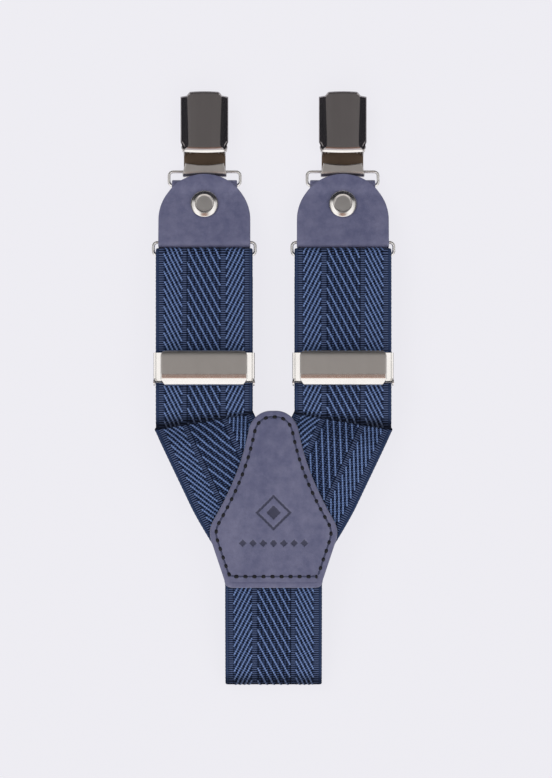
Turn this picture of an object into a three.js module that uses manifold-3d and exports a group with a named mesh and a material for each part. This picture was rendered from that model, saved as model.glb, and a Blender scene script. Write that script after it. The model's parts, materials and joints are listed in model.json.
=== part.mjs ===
// Clip-on Y-back suspenders, folded flat as they are stored. Millimetres, +Z up, front face up.
// +Y runs towards the front clips, and X runs across the two front straps.
import * as THREE from "three";
import { mergeVertices } from "three/addons/utils/BufferGeometryUtils.js";
import Module from "manifold-3d";

const wasm = await Module();
wasm.setup();

// Driving dimensions
const WEB_WIDTH = 35; // elastic webbing
const WEB_T = 1.5;
const LEATHER_T = 1.1;
const GAP = 0.3; // between pieces that lie on each other
const STRAP_X = 25; // centre line of each front strap
const TOP_WEB_Z = 10.65; // middle of the top layer of webbing
const UNDER_WEB_Z = TOP_WEB_Z - WEB_T - GAP;
const STACK_TOP = 6.6; // top of the folded spare length under each front strap
const FOLD_OUTER = [-42.6, -14.8]; // ends of the left strap's fold line
const FOLD_INNER = [-7.4, -9];
const SHOULDER_ANGLE = THREE.MathUtils.degToRad(25.5); // each shoulder strap against the centre line
const SHOULDER_POINT = [-26.8, -8.2]; // on the left shoulder strap's centre line
const YOKE_END = -60; // where the shoulder straps end and the rear strap begins, under the patch
const TAIL_END = -107.3;

// Wire rings: half width to the middle of the wire, distance between the two bars
const WIRE_R = 0.6;
const RING_CORNER = 1.5;
const STRAP_RING = { half: 18.4, reach: 4.7 };
const REAR_RING = { half: 17.2, reach: STRAP_RING.reach }; // narrower, so that the yoke covers it
const REAR_LOOP_HALF = 16.3; // the webbing is gathered in the narrow ring
const CLIP_RING = { half: 12.9, reach: 5.2 };
const WEB_LOOP_R = WIRE_R + 0.4 + WEB_T / 2; // middle of webbing that turns round a bar
const TAB_LOOP_R = WIRE_R + GAP + LEATHER_T / 2;

// Leather tab, measured from the strap ring's lower bar
const TAB_HALF = 16.6;
const REAR_TAB_HALF = 15.4;
const TAB_TOP = 30.2; // of the round top, which is half a circle of the tab's width
const TAB_BACK_HALF = 11.8;
const TAB_TOP_BAR = 26;
const RIVET_Y = 18.4;
const RIVET_HOLE_R = 1.8;
const END_REACH = TAB_TOP_BAR + CLIP_RING.reach;

// Clip, measured from its ring's upper bar: Y towards the tip, Z from the back plate's rear face
const CLIP_LENGTH = 28.7;
const CLIP_T = 0.8;
const CLIP_DEPTH = 8.2;
const CLIP_BAR_Z = 2;
const CLIP_HOOK_R = CLIP_BAR_Z - CLIP_T / 2;
const PIN = { y: 8.2, z: 3.7, r: 0.75, half: 8.1 };
const PIN_HOLE_R = 1.05;
const COVER_START = 6.5;
const PLATE_HALF = 7.6; // half width of the clip's back plate
const JAW_HALF = 6.2;
const COVER_LUG_X = 6.4;
const JAW_LUG_X = 5.2;

// Slider, measured along its strap
const SLIDER = { low: 0.9, high: 13.6, coverHalf: 15.55, half: 18.2, wall: 0.6 };
const SLIDER_CURL_R = 1.05; // middle of the cover's sheet round its pin
const SLIDER_PIN = { y: SLIDER.low + SLIDER_CURL_R + 0.35, z: TOP_WEB_Z + WEB_T / 2 + 0.35 + 1.4, r: 0.45 };

const FRONT_TIP_Y = 107.3;
const REAR_TIP_Y = -12;
const FRONT_BAR_Z = TOP_WEB_Z - WEB_LOOP_R;
const REAR_BAR_Z = 2.7;

const webbing = new THREE.MeshStandardMaterial({ color: 0x1f2f55, roughness: 0.85, metalness: 0 });
const leather = new THREE.MeshStandardMaterial({ color: 0x55567c, roughness: 0.55, metalness: 0 });
const nickel = new THREE.MeshStandardMaterial({ color: 0xc9c4c0, roughness: 0.15, metalness: 1 });
const gunmetal = new THREE.MeshStandardMaterial({ color: 0x5d5757, roughness: 0.18, metalness: 1 });
const rubber = new THREE.MeshStandardMaterial({ color: 0x16171c, roughness: 0.7, metalness: 0 });

// Solids and booleans
function solid(geometry) {
  const bare = geometry.index ? geometry.toNonIndexed() : geometry.clone();
  bare.deleteAttribute("normal");
  bare.deleteAttribute("uv");
  const merged = mergeVertices(bare, 1e-4);
  return new wasm.Manifold(
    new wasm.Mesh({
      numProp: 3,
      vertProperties: merged.attributes.position.array,
      triVerts: new Uint32Array(merged.index.array),
    }),
  );
}

function shell(made) {
  const surface = made.getMesh();
  const geometry = new THREE.BufferGeometry();
  geometry.setAttribute("position", new THREE.BufferAttribute(surface.vertProperties, 3));
  geometry.setIndex(new THREE.BufferAttribute(surface.triVerts, 1));
  geometry.computeVertexNormals();
  return geometry;
}

const join = (...parts) => shell(parts.map(solid).reduce((all, next) => all.add(next)));
const cut = (part, ...tools) =>
  shell(tools.map(solid).reduce((left, tool) => left.subtract(tool), solid(part)));
const common = (part, tool) => shell(solid(part).intersect(solid(tool)));

function shapeOf(points) {
  return new THREE.Shape(points.map(([a, b]) => new THREE.Vector2(a, b)));
}

// A prism on an outline in X and Y, from low to high in Z.
function plate(points, low, high) {
  const shape = Array.isArray(points) ? shapeOf(points) : points;
  const depth = high - low;
  const geometry = new THREE.ExtrudeGeometry(shape, { depth, bevelEnabled: false, curveSegments: 10 });
  return geometry.translate(0, 0, low);
}

// A prism on an outline in Y and Z, spread across X.
function across(points, left, right) {
  const shape = Array.isArray(points) ? shapeOf(points) : points;
  const depth = right - left;
  const geometry = new THREE.ExtrudeGeometry(shape, { depth, bevelEnabled: false, curveSegments: 8 });
  const turn = new THREE.Matrix4().makeBasis(
    new THREE.Vector3(0, 1, 0),
    new THREE.Vector3(0, 0, 1),
    new THREE.Vector3(1, 0, 0),
  );
  return geometry.applyMatrix4(turn).translate(left, 0, 0);
}

// A prism on an outline in X and Z, from low to high in Y.
function along(points, low, high) {
  const geometry = new THREE.ExtrudeGeometry(shapeOf(points), { depth: high - low, bevelEnabled: false });
  return geometry.rotateX(Math.PI / 2).translate(0, high, 0);
}

function box(x, y, z) {
  const size = [x, y, z].map(([low, high]) => high - low);
  const middle = [x, y, z].map(([low, high]) => (high + low) / 2);
  return new THREE.BoxGeometry(...size).translate(...middle);
}

function rod(radius, left, right, y, z, sides = 16) {
  return new THREE.CylinderGeometry(radius, radius, right - left, sides)
    .rotateZ(Math.PI / 2)
    .translate((left + right) / 2, y, z);
}

// Points of an arc in a plane, angles in degrees.
function arc(cx, cy, radius, from, to, steps = 6) {
  return Array.from({ length: steps + 1 }, (_, i) => {
    const angle = THREE.MathUtils.degToRad(from + ((to - from) * i) / steps);
    return [cx + radius * Math.cos(angle), cy + radius * Math.sin(angle)];
  });
}

// The outline of a strip of an even thickness that follows a path.
function strip(path, thickness) {
  const normals = path.map((_, i) => {
    const before = path[Math.max(i - 1, 0)];
    const after = path[Math.min(i + 1, path.length - 1)];
    const [a, b] = [path[i][0] - before[0], path[i][1] - before[1]];
    const [c, d] = [after[0] - path[i][0], after[1] - path[i][1]];
    const into = new THREE.Vector2(-b, a).normalize();
    const outOf = new THREE.Vector2(-d, c).normalize();
    const mean = into.clone().add(outOf).normalize();
    const longest = Math.max(mean.dot(into), mean.dot(outOf), 0.5);
    return mean.multiplyScalar(thickness / 2 / longest);
  });
  const side = (sign) => path.map(([a, b], i) => [a + sign * normals[i].x, b + sign * normals[i].y]);
  return [...side(1), ...side(-1).reverse()].reverse();
}

// A flat closed ring of round wire in X and Y, with its lower bar on the X axis.
function wireRing({ half, reach }) {
  const r = RING_CORNER;
  const path = [
    ...arc(half - r, r, r, -90, 0, 4),
    ...arc(half - r, reach - r, r, 0, 90, 4),
    ...arc(-half + r, reach - r, r, 90, 180, 4),
    ...arc(-half + r, r, r, 180, 270, 4),
  ];
  const sides = 10;
  const positions = [];
  const index = [];
  path.forEach(([x, y], i) => {
    const [px, py] = path[(i + path.length - 1) % path.length];
    const [nx, ny] = path[(i + 1) % path.length];
    const out = new THREE.Vector2(ny - py, px - nx).normalize();
    for (let k = 0; k < sides; k += 1) {
      const angle = (2 * Math.PI * k) / sides;
      const reachOut = WIRE_R * Math.cos(angle);
      positions.push(x + out.x * reachOut, y + out.y * reachOut, WIRE_R * Math.sin(angle));
      const next = (i + 1) % path.length;
      const beside = (k + 1) % sides;
      const [a, b, c, d] = [i * sides + k, next * sides + k, next * sides + beside, i * sides + beside];
      index.push(a, b, c, a, c, d);
    }
  });
  const geometry = new THREE.BufferGeometry();
  geometry.setAttribute("position", new THREE.Float32BufferAttribute(positions, 3));
  geometry.setIndex(index);
  geometry.computeVertexNormals();
  return geometry;
}

function mesh(name, geometry, material) {
  const made = new THREE.Mesh(geometry, material);
  made.name = name;
  return made;
}

function groupAt(x, y, z, ...children) {
  const group = new THREE.Group();
  group.position.set(x, y, z);
  if (children.length) group.add(...children);
  return group;
}

// The clip's back plate: its lower end hooks round the ring, and two ears hold the pin.
function clipBase() {
  const z = CLIP_T / 2;
  const hook = arc(0, CLIP_BAR_Z, CLIP_HOOK_R, 270, 90, 8);
  const side = strip([[CLIP_LENGTH - 2.2, z], ...hook, [3, CLIP_BAR_Z + CLIP_HOOK_R]], CLIP_T);
  const ear = (x) =>
    join(
      rod(2, x - 0.4, x + 0.4, PIN.y, PIN.z, 20),
      box([x - 0.4, x + 0.4], [PIN.y - 2, PIN.y + 2], [0.2, PIN.z]),
    );
  const earX = PLATE_HALF - 0.1;
  const body = join(across(side, -PLATE_HALF, PLATE_HALF), ear(earX), ear(-earX));
  return cut(body, rod(PIN_HOLE_R, -10, 10, PIN.y, PIN.z));
}

// The cover: a domed sheet with sloping wings and two lugs on the pin.
function clipCover() {
  const outer = [[-8.6, 6.6], [-7.4, 7.3], [-6, 7.85], [-3, 8.15], [0, CLIP_DEPTH]];
  const outline = [...outer, ...outer.slice(0, -1).reverse().map(([x, z]) => [-x, z])];
  const inner = outline.map(([x, z]) => [x * 0.95, z - CLIP_T]).reverse();
  const sheet = along([...outline, ...inner].reverse(), COVER_START, CLIP_LENGTH);
  const corner = (left, right) => box([left, right], [CLIP_LENGTH - 1.2, CLIP_LENGTH + 1], [0, 10]);
  const lug = (x) =>
    join(
      rod(1.7, x - 0.35, x + 0.35, PIN.y, PIN.z, 16),
      box([x - 0.35, x + 0.35], [PIN.y - 1.4, PIN.y + 1.4], [PIN.z, 7.4]),
    );
  const body = join(cut(sheet, corner(6, 10), corner(-10, -6)), lug(COVER_LUG_X), lug(-COVER_LUG_X));
  return cut(body, rod(PIN_HOLE_R, -10, 10, PIN.y, PIN.z));
}

// The sprung jaw under the cover.
function clipJaw() {
  const lug = (x) => box([x - 0.35, x + 0.35], [PIN.y - 1.6, 11.5], [2.3, 5.1]);
  const sheet = box([-JAW_HALF, JAW_HALF], [10.4, 26], [3.35, 4.05]);
  return cut(join(sheet, lug(JAW_LUG_X), lug(-JAW_LUG_X)), rod(PIN_HOLE_R, -10, 10, PIN.y, PIN.z));
}

// A ribbed grip pad between low and high, its ribs on one side.
function gripPad(half, start, end, low, high, ribsUp) {
  const ribs = 7;
  const pitch = (end - start) / ribs;
  const depth = 0.25;
  const teeth = [];
  for (let i = 0; i < ribs; i += 1) {
    const y = start + i * pitch;
    teeth.push([y, ribsUp ? high - depth : low + depth], [y + pitch / 2, ribsUp ? high : low]);
  }
  teeth.push([end, ribsUp ? high - depth : low + depth]);
  const flat = ribsUp ? low : high;
  const outline = [[start, flat], ...teeth, [end, flat]];
  return across(ribsUp ? outline.reverse() : outline, -half, half);
}

function clipPin() {
  const shank = rod(PIN.r, -PIN.half - 0.1, PIN.half + 0.1, PIN.y, PIN.z);
  const head = (x) => rod(1.2, x - 0.3, x + 0.3, PIN.y, PIN.z, 16);
  return join(shank, head(PIN.half + 0.3), head(-PIN.half - 0.3));
}

function clipSpring() {
  return cut(rod(1.7, -3.5, 3.5, PIN.y, PIN.z, 20), rod(1.05, -5, 5, PIN.y, PIN.z, 20));
}

// The leather tab: one piece that turns round both rings, with its end between its two layers.
function leatherTab(half) {
  const roundY = TAB_TOP - half;
  const low = STRAP_RING.reach;
  const front = strip(
    [
      [TAB_TOP, 3],
      [TAB_TOP_BAR - 0.4, 2.95],
      [22.9, 1.7],
      [12, 1.6],
      ...arc(low, 0, TAB_LOOP_R, 90, 180, 5),
    ],
    LEATHER_T,
  );
  const back = strip(
    [
      ...arc(low, 0, TAB_LOOP_R, 180, 270, 5),
      [RIVET_Y, -1.3],
      ...arc(TAB_TOP_BAR, 0, TAB_LOOP_R, -90, 90, 8),
      [23.2, 0.25],
      [13.5, 0.15],
    ],
    LEATHER_T,
  );
  const round = shapeOf([
    [-half, -5],
    [half, -5],
    ...arc(0, roundY, half, 0, 180, 20),
  ]);
  const tapered = [
    [-half, -5],
    [half, -5],
    [half, roundY],
    [TAB_BACK_HALF, roundY + 8],
    [TAB_BACK_HALF, 32],
    [-TAB_BACK_HALF, 32],
    [-TAB_BACK_HALF, roundY + 8],
    [-half, roundY],
  ];
  const faceSheet = common(across(front, -20, 20), plate(round, -10, 10));
  const backSheet = common(across(back, -20, 20), plate(tapered, -10, 10));
  return cut(join(faceSheet, backSheet), drill(RIVET_HOLE_R, -10, 10));
}

function drill(radius, low, high, sides = 16) {
  return new THREE.CylinderGeometry(radius, radius, high - low, sides)
    .rotateX(Math.PI / 2)
    .translate(0, RIVET_Y, (low + high) / 2);
}

// The rivet's cap is a dished disc on the front, and its post is spread behind.
function rivetCap() {
  const profile = [[0, 2.6], [4.8, 2.6], [5, 2.9], [4.7, 3.3], [3.9, 3.45], [3.6, 3.25], [0, 3.25]];
  const points = profile.map(([r, z]) => new THREE.Vector2(r, z));
  return new THREE.LatheGeometry(points, 28).rotateX(Math.PI / 2).translate(0, RIVET_Y, 0);
}

function rivetPost() {
  const profile = [[0, -2.8], [3.4, -2.8], [3.6, -2.5], [3.4, -2.2], [1.4, -2.2], [1.4, 2.3], [0, 2.3]];
  const points = profile.map(([r, z]) => new THREE.Vector2(r, z));
  return new THREE.LatheGeometry(points, 20).rotateX(Math.PI / 2).translate(0, RIVET_Y, 0);
}

// A clip end: strap ring, leather tab, clip ring and clip, from the strap's loop to the tip.
function clipEnd(side, drop, strapRing, tabHalf) {
  const tilt = Math.asin(drop / END_REACH);
  const tilted = groupAt(
    0, 0, 0,
    mesh(`${side}_strap_ring`, wireRing(strapRing), nickel),
    mesh(`${side}_leather_tab`, leatherTab(tabHalf), leather),
    mesh(`${side}_rivet_cap`, rivetCap(), nickel),
    mesh(`${side}_rivet_post`, rivetPost(), nickel),
    groupAt(0, TAB_TOP_BAR, 0, mesh(`${side}_clip_ring`, wireRing(CLIP_RING), nickel)),
  );
  tilted.rotation.x = -tilt;
  const clip = groupAt(
    0, END_REACH * Math.cos(tilt), -drop - CLIP_BAR_Z,
    mesh(`${side}_clip_base`, clipBase(), nickel),
    mesh(`${side}_clip_cover`, clipCover(), gunmetal),
    mesh(`${side}_clip_jaw`, clipJaw(), nickel),
    mesh(`${side}_base_pad`, gripPad(6.3, 12, 26, 0.85, 2, true), rubber),
    mesh(`${side}_jaw_pad`, gripPad(6, 12, 25.5, 2.25, 3.3, false), rubber),
    mesh(`${side}_clip_pin`, clipPin(), nickel),
    mesh(`${side}_clip_spring`, clipSpring(), nickel),
  );
  return groupAt(0, 0, 0, tilted, clip);
}

// The distance from a clip end's strap bar to its tip, seen from above.
function endLength(drop) {
  return END_REACH * Math.cos(Math.asin(drop / END_REACH)) + CLIP_LENGTH;
}

// The slider: a channel that holds the webbing, and a cover on a pin.
function sliderFrame() {
  const low = UNDER_WEB_Z - WEB_T / 2 - 0.4 - CLIP_T;
  const lip = TOP_WEB_Z + WEB_T / 2 + 0.4;
  const wall = (sign) => {
    const x = sign * (SLIDER.half - SLIDER.wall / 2);
    const near = x - SLIDER.wall / 2;
    return join(
      box([near, near + SLIDER.wall], [SLIDER.low + 1.6, SLIDER.high - 0.7], [low, lip + 1.2]),
      box([near, near + SLIDER.wall], [SLIDER_PIN.y - 1.4, SLIDER_PIN.y + 1.4], [lip - 1, SLIDER_PIN.z]),
      rod(1.4, near, near + SLIDER.wall, SLIDER_PIN.y, SLIDER_PIN.z),
    );
  };
  const rail = (sign) => {
    const ends = [sign * (SLIDER.coverHalf + 0.35), sign * SLIDER.half].sort((a, b) => a - b);
    return box(ends, [SLIDER_PIN.y + 1.8, SLIDER.high - 0.7], [lip + 0.6, lip + 1.2]);
  };
  const back = box([-SLIDER.half, SLIDER.half], [SLIDER.low + 1.6, SLIDER.high - 0.7], [low, low + CLIP_T]);
  const body = join(back, wall(1), wall(-1), rail(1), rail(-1));
  return cut(body, rod(SLIDER_PIN.r + GAP, -20, 20, SLIDER_PIN.y, SLIDER_PIN.z));
}

function sliderCover() {
  const { y, z } = SLIDER_PIN;
  const path = [[SLIDER.high - 0.2, z + SLIDER_CURL_R - 0.5], [SLIDER.high - 1.2, z + SLIDER_CURL_R],
    ...arc(y, z, SLIDER_CURL_R, 90, 300, 10)];
  return across(strip(path, 0.7), -SLIDER.coverHalf, SLIDER.coverHalf);
}

// Webbing. Each path is in Y and Z, down the middle of the webbing.
function webStrip(path) {
  return across(strip(path, WEB_T), -WEB_WIDTH / 2, WEB_WIDTH / 2);
}

// A region on one side of the left fold line, at full height.
function pastFold(below) {
  const slope = (FOLD_INNER[1] - FOLD_OUTER[1]) / (FOLD_INNER[0] - FOLD_OUTER[0]);
  const foldY = (x) => FOLD_OUTER[1] + slope * (x - FOLD_OUTER[0]) + (below ? -GAP : 0);
  const far = below ? -90 : 90;
  const corners = [[-70, foldY(-70)], [20, foldY(20)], [20, far], [-70, far]];
  return plate(below ? corners.reverse() : corners, -5, 30);
}

function shoulderStrap() {
  const level = [TOP_WEB_Z - WEB_T / 2, TOP_WEB_Z + WEB_T / 2];
  const flat = box([-WEB_WIDTH / 2, WEB_WIDTH / 2], [-75, 25], level);
  const laid = flat.rotateZ(SHOULDER_ANGLE).translate(...SHOULDER_POINT, 0);
  const yoke = [[-60, YOKE_END], [-GAP / 2, YOKE_END], [-GAP / 2, 20], [-60, 20]];
  return common(common(laid, pastFold(true)), plate(yoke, 0, 20));
}

function frontStrap() {
  const end = SLIDER.low + 2;
  const run = webStrip([[-25, TOP_WEB_Z], [end, TOP_WEB_Z]]).translate(-STRAP_X, 0, 0);
  return common(run, pastFold(false));
}

// The webbing's end turns round the strap ring and comes back to the slider.
function strapLoop(barY) {
  return webStrip([
    [SLIDER.low + 6.8, TOP_WEB_Z],
    ...arc(barY, FRONT_BAR_Z, WEB_LOOP_R, 90, -90, 10),
    [barY - 9, UNDER_WEB_Z],
    [SLIDER.low + 7.5, UNDER_WEB_Z],
  ]);
}

function foldedStrap() {
  const r = STACK_TOP / 2;
  const outline = [...arc(-8 + r, r, r, 90, 270, 8), ...arc(41 - r, r, r, -90, 90, 8)];
  return across(outline, -WEB_WIDTH / 2, WEB_WIDTH / 2);
}

// The rear strap runs out from the patch, folds under and goes back to the rear clip.
function rearStrap(barY) {
  const underZ = REAR_BAR_Z - WEB_LOOP_R;
  const foldY = TAIL_END + WEB_LOOP_R + WEB_T / 2;
  const run = webStrip([
    [YOKE_END - GAP, TOP_WEB_Z],
    [-76, TOP_WEB_Z],
    [-98, 6.4],
    ...arc(foldY, REAR_BAR_Z, WEB_LOOP_R, 90, 270, 10),
    [barY - 4, underZ],
    ...arc(barY, REAR_BAR_Z, WEB_LOOP_R, -90, 90, 10),
    [barY - 9, REAR_BAR_Z + 0.2],
    [barY - 18, REAR_BAR_Z + 0.05],
  ]);
  const loopTop = REAR_BAR_Z + WEB_LOOP_R + WEB_T;
  const beside = (near, far) => box([near, far], [barY - 2.5, barY + 4], [-1, loopTop]);
  return cut(run, beside(-20, -REAR_LOOP_HALF), beside(REAR_LOOP_HALF, 20));
}

// The yoke patch's outline: a round top, concave flanks, wide rounded corners and a straight foot.
function patchShape() {
  const shape = new THREE.Shape();
  shape.moveTo(-14.5, -71.7);
  shape.lineTo(14.5, -71.7);
  shape.quadraticCurveTo(17.2, -71.7, 17.7, -69);
  shape.lineTo(22.3, -55.2);
  shape.quadraticCurveTo(23.7, -51.4, 21.9, -47.8);
  shape.bezierCurveTo(15.9, -37.5, 11.4, -27.5, 9, -15.2);
  shape.bezierCurveTo(8.2, -11, 4.9, -8, 0, -8);
  shape.bezierCurveTo(-4.9, -8, -8.2, -11, -9, -15.2);
  shape.bezierCurveTo(-11.4, -27.5, -15.9, -37.5, -21.9, -47.8);
  shape.quadraticCurveTo(-23.7, -51.4, -22.3, -55.2);
  shape.lineTo(-17.7, -69);
  shape.quadraticCurveTo(-17.2, -71.7, -14.5, -71.7);
  return shape;
}

function mirrored(geometry) {
  const other = solid(geometry).mirror([1, 0, 0]);
  return shell(other);
}

const frontDrop = FRONT_BAR_Z - CLIP_BAR_Z;
const frontBarY = FRONT_TIP_Y - endLength(frontDrop);
const rearDrop = CLIP_DEPTH - CLIP_BAR_Z - REAR_BAR_Z;
const rearBarY = REAR_TIP_Y - endLength(rearDrop);
const suspenders = new THREE.Group();

for (const [side, sign] of [["left", -1], ["right", 1]]) {
  const fit = sign < 0 ? (geometry) => geometry : mirrored;
  suspenders.add(
    mesh(`${side}_front_strap`, fit(frontStrap()), webbing),
    mesh(`${side}_shoulder_strap`, fit(shoulderStrap()), webbing),
    groupAt(
      sign * STRAP_X, 0, 0,
      mesh(`${side}_strap_loop`, strapLoop(frontBarY), webbing),
      mesh(`${side}_folded_strap`, foldedStrap(), webbing),
      mesh(`${side}_slider_frame`, sliderFrame(), nickel),
      mesh(`${side}_slider_cover`, sliderCover(), nickel),
      mesh(`${side}_slider_pin`, rod(SLIDER_PIN.r, -18.5, 18.5, SLIDER_PIN.y, SLIDER_PIN.z, 12), nickel),
    ),
  );
  const end = clipEnd(side, frontDrop, STRAP_RING, TAB_HALF);
  end.position.set(sign * STRAP_X, frontBarY, FRONT_BAR_Z);
  suspenders.add(end);
}

const rearEnd = clipEnd("rear", rearDrop, REAR_RING, REAR_TAB_HALF);
rearEnd.position.set(0, rearBarY, REAR_BAR_Z);
rearEnd.rotation.y = Math.PI;
const webTop = TOP_WEB_Z + WEB_T / 2;
const webFoot = TOP_WEB_Z - WEB_T / 2;
suspenders.add(
  rearEnd,
  mesh("rear_strap", rearStrap(rearBarY), webbing),
  mesh("front_patch", plate(patchShape(), webTop + GAP, webTop + GAP + LEATHER_T), leather),
  mesh("back_patch", plate(patchShape(), webFoot - GAP - LEATHER_T, webFoot - GAP), leather),
);

export default suspenders;
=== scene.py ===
"""The looks of clip-on Y-back suspenders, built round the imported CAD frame.

Lengths in the tables and functions are millimetres; MM turns them into Blender's metres.
"""

import json
import math

import bmesh
import bpy
import numpy as np
from mathutils import Matrix, Vector


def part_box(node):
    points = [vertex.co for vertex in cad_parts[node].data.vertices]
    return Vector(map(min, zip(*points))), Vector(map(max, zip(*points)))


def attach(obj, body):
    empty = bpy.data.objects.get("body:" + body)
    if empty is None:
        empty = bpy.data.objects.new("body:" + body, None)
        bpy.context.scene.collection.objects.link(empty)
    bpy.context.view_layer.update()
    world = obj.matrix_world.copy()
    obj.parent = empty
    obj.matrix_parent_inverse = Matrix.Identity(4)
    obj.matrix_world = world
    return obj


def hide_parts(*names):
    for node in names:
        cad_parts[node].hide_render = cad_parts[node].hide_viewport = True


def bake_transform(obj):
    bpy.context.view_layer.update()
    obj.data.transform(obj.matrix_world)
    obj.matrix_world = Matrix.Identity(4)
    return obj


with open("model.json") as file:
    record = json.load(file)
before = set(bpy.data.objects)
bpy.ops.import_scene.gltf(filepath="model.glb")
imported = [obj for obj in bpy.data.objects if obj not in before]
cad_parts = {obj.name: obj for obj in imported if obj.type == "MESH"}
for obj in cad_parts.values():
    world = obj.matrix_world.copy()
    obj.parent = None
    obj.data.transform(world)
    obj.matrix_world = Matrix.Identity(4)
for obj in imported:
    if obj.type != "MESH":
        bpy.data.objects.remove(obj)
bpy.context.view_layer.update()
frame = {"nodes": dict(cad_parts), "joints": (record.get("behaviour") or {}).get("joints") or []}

MM = 0.001

# Webbing, leather and fittings, as in the CAD part
WEB_WIDTH, WEB_T = 35.0, 1.5
LEATHER_T = 1.1
WIRE_R, WIRE_STEP = 0.6, 1.5
WEB_LOOP_R = 1.75
TAB_LOOP_R = 1.45
RING_CORNER = 1.5
CLIP_RING = (12.9, 5.2)
TAB_TOP_BAR, RIVET_Y = 26.0, 18.4
CLIP_BAR_Z, CLIP_LENGTH, COVER_START = 2.0, 28.7, 6.5
SHOULDER_ANGLE = math.radians(25.5)
SHOULDER_POINT = (-26.8, -8.2)
FOLD_OUTER, FOLD_INNER = (-42.6, -14.8), (-7.4, -9.0)
FOLD_R = 0.85
YOKE_END = -60.0

JOINTS = {joint["name"]: joint for joint in frame["joints"]}
SIDES = ("left", "right", "rear")


def box_mm(node):
    low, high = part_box(node)
    return np.array(low) / MM, np.array(high) / MM


TOP_WEB_Z = float(sum(pair[2] for pair in box_mm("left_front_strap")) / 2)
UNDER_WEB_Z = TOP_WEB_Z - WEB_T - 0.3
STRAP_X = float(sum(pair[0] for pair in box_mm("right_folded_strap")) / 2)
PATCH_TOP_Z = float(box_mm("front_patch")[1][2])


# ---------------------------------------------------------------- materials

class NodeWriter:
    """Writes a node tree: every call adds one node and returns its output."""

    def __init__(self, tree):
        self.nodes, self.links = tree.nodes, tree.links
        self.nodes.clear()

    def plug(self, socket, value):
        if isinstance(value, bpy.types.NodeSocket):
            self.links.new(value, socket)
        elif isinstance(value, tuple) and len(value) == 3 and socket.type == "RGBA":
            socket.default_value = (*value, 1.0)
        else:
            socket.default_value = value

    def math(self, operation, *values, clamp=False):
        node = self.nodes.new("ShaderNodeMath")
        node.operation = operation
        node.use_clamp = clamp
        for socket, value in zip(node.inputs, values):
            self.plug(socket, value)
        return node.outputs[0]

    def mix(self, factor, first, second):
        node = self.nodes.new("ShaderNodeMix")
        node.data_type = "RGBA"
        self.plug(node.inputs[0], factor)
        self.plug(node.inputs[6], first)
        self.plug(node.inputs[7], second)
        return node.outputs[2]

    def step(self, value, low, high):
        node = self.nodes.new("ShaderNodeMapRange")
        node.interpolation_type = "SMOOTHSTEP"
        self.plug(node.inputs[0], value)
        self.plug(node.inputs[1], low)
        self.plug(node.inputs[2], high)
        return node.outputs[0]

    def remap(self, value, low, high):
        node = self.nodes.new("ShaderNodeMapRange")
        self.plug(node.inputs[0], value)
        self.plug(node.inputs[3], low)
        self.plug(node.inputs[4], high)
        return node.outputs[0]

    def place(self):
        return self.nodes.new("ShaderNodeTexCoord").outputs["Object"]

    def uv(self):
        node = self.nodes.new("ShaderNodeUVMap")
        node.uv_map = "weave"
        across, along, _ = self.axes(node.outputs[0])
        return across, along, node.outputs[0]

    def noise(self, vector, scale, detail=3.0, roughness=0.5, stretch=None):
        node = self.nodes.new("ShaderNodeTexNoise")
        if stretch:
            mapping = self.nodes.new("ShaderNodeMapping")
            mapping.inputs["Scale"].default_value = stretch
            self.links.new(vector, mapping.inputs[0])
            vector = mapping.outputs[0]
        self.links.new(vector, node.inputs["Vector"])
        node.inputs["Scale"].default_value = scale
        node.inputs["Detail"].default_value = detail
        node.inputs["Roughness"].default_value = roughness
        return node.outputs[0]

    def cells(self, vector, scale):
        node = self.nodes.new("ShaderNodeTexVoronoi")
        self.links.new(vector, node.inputs["Vector"])
        node.inputs["Scale"].default_value = scale
        return node.outputs["Distance"]

    def bump(self, height, strength, distance):
        node = self.nodes.new("ShaderNodeBump")
        node.inputs["Strength"].default_value = strength
        node.inputs["Distance"].default_value = distance
        self.plug(node.inputs["Height"], height)
        return node.outputs[0]

    def axes(self, vector):
        node = self.nodes.new("ShaderNodeSeparateXYZ")
        self.links.new(vector, node.inputs[0])
        return node.outputs


class Shader(NodeWriter):
    """A material with one Principled shader."""

    def __init__(self, name):
        self.material = bpy.data.materials.new(name)
        self.material.use_nodes = True
        super().__init__(self.material.node_tree)
        self.bsdf = self.nodes.new("ShaderNodeBsdfPrincipled")
        output = self.nodes.new("ShaderNodeOutputMaterial")
        self.links.new(self.bsdf.outputs[0], output.inputs[0])

    def set(self, **values):
        for name, value in values.items():
            self.plug(self.bsdf.inputs[name.replace("_", " ")], value)


def wave(shader, value, pitch, phase=0.0):
    """0 to 1 and back once each pitch."""
    turns = shader.math("MULTIPLY_ADD", value, 2 * math.pi / pitch, phase)
    return shader.math("MULTIPLY_ADD", shader.math("SINE", turns), 0.5, 0.5)


def between(shader, value, low, high, soft=0.18):
    """1 where value lies from low to high."""
    rise = shader.step(value, low - soft, low + soft)
    fall = shader.step(value, high + soft, high - soft)
    return shader.math("MULTIPLY", rise, fall)


# Painted shade at the folds: its near-black colour, how far it reaches above the front straps' fold, and where
# it starts and ends on the tail
FOLD_SHADE_DARK = (0.0006, 0.0012, 0.0045)
FOLD_SHADE_REACH, FOLD_SHADE_SPREAD = 2.2, 3.6
TAIL_FOLD_Y, TAIL_SHADE_Y, TAIL_SHADE_SHARE = -106.4, -102.0, 0.68


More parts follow.
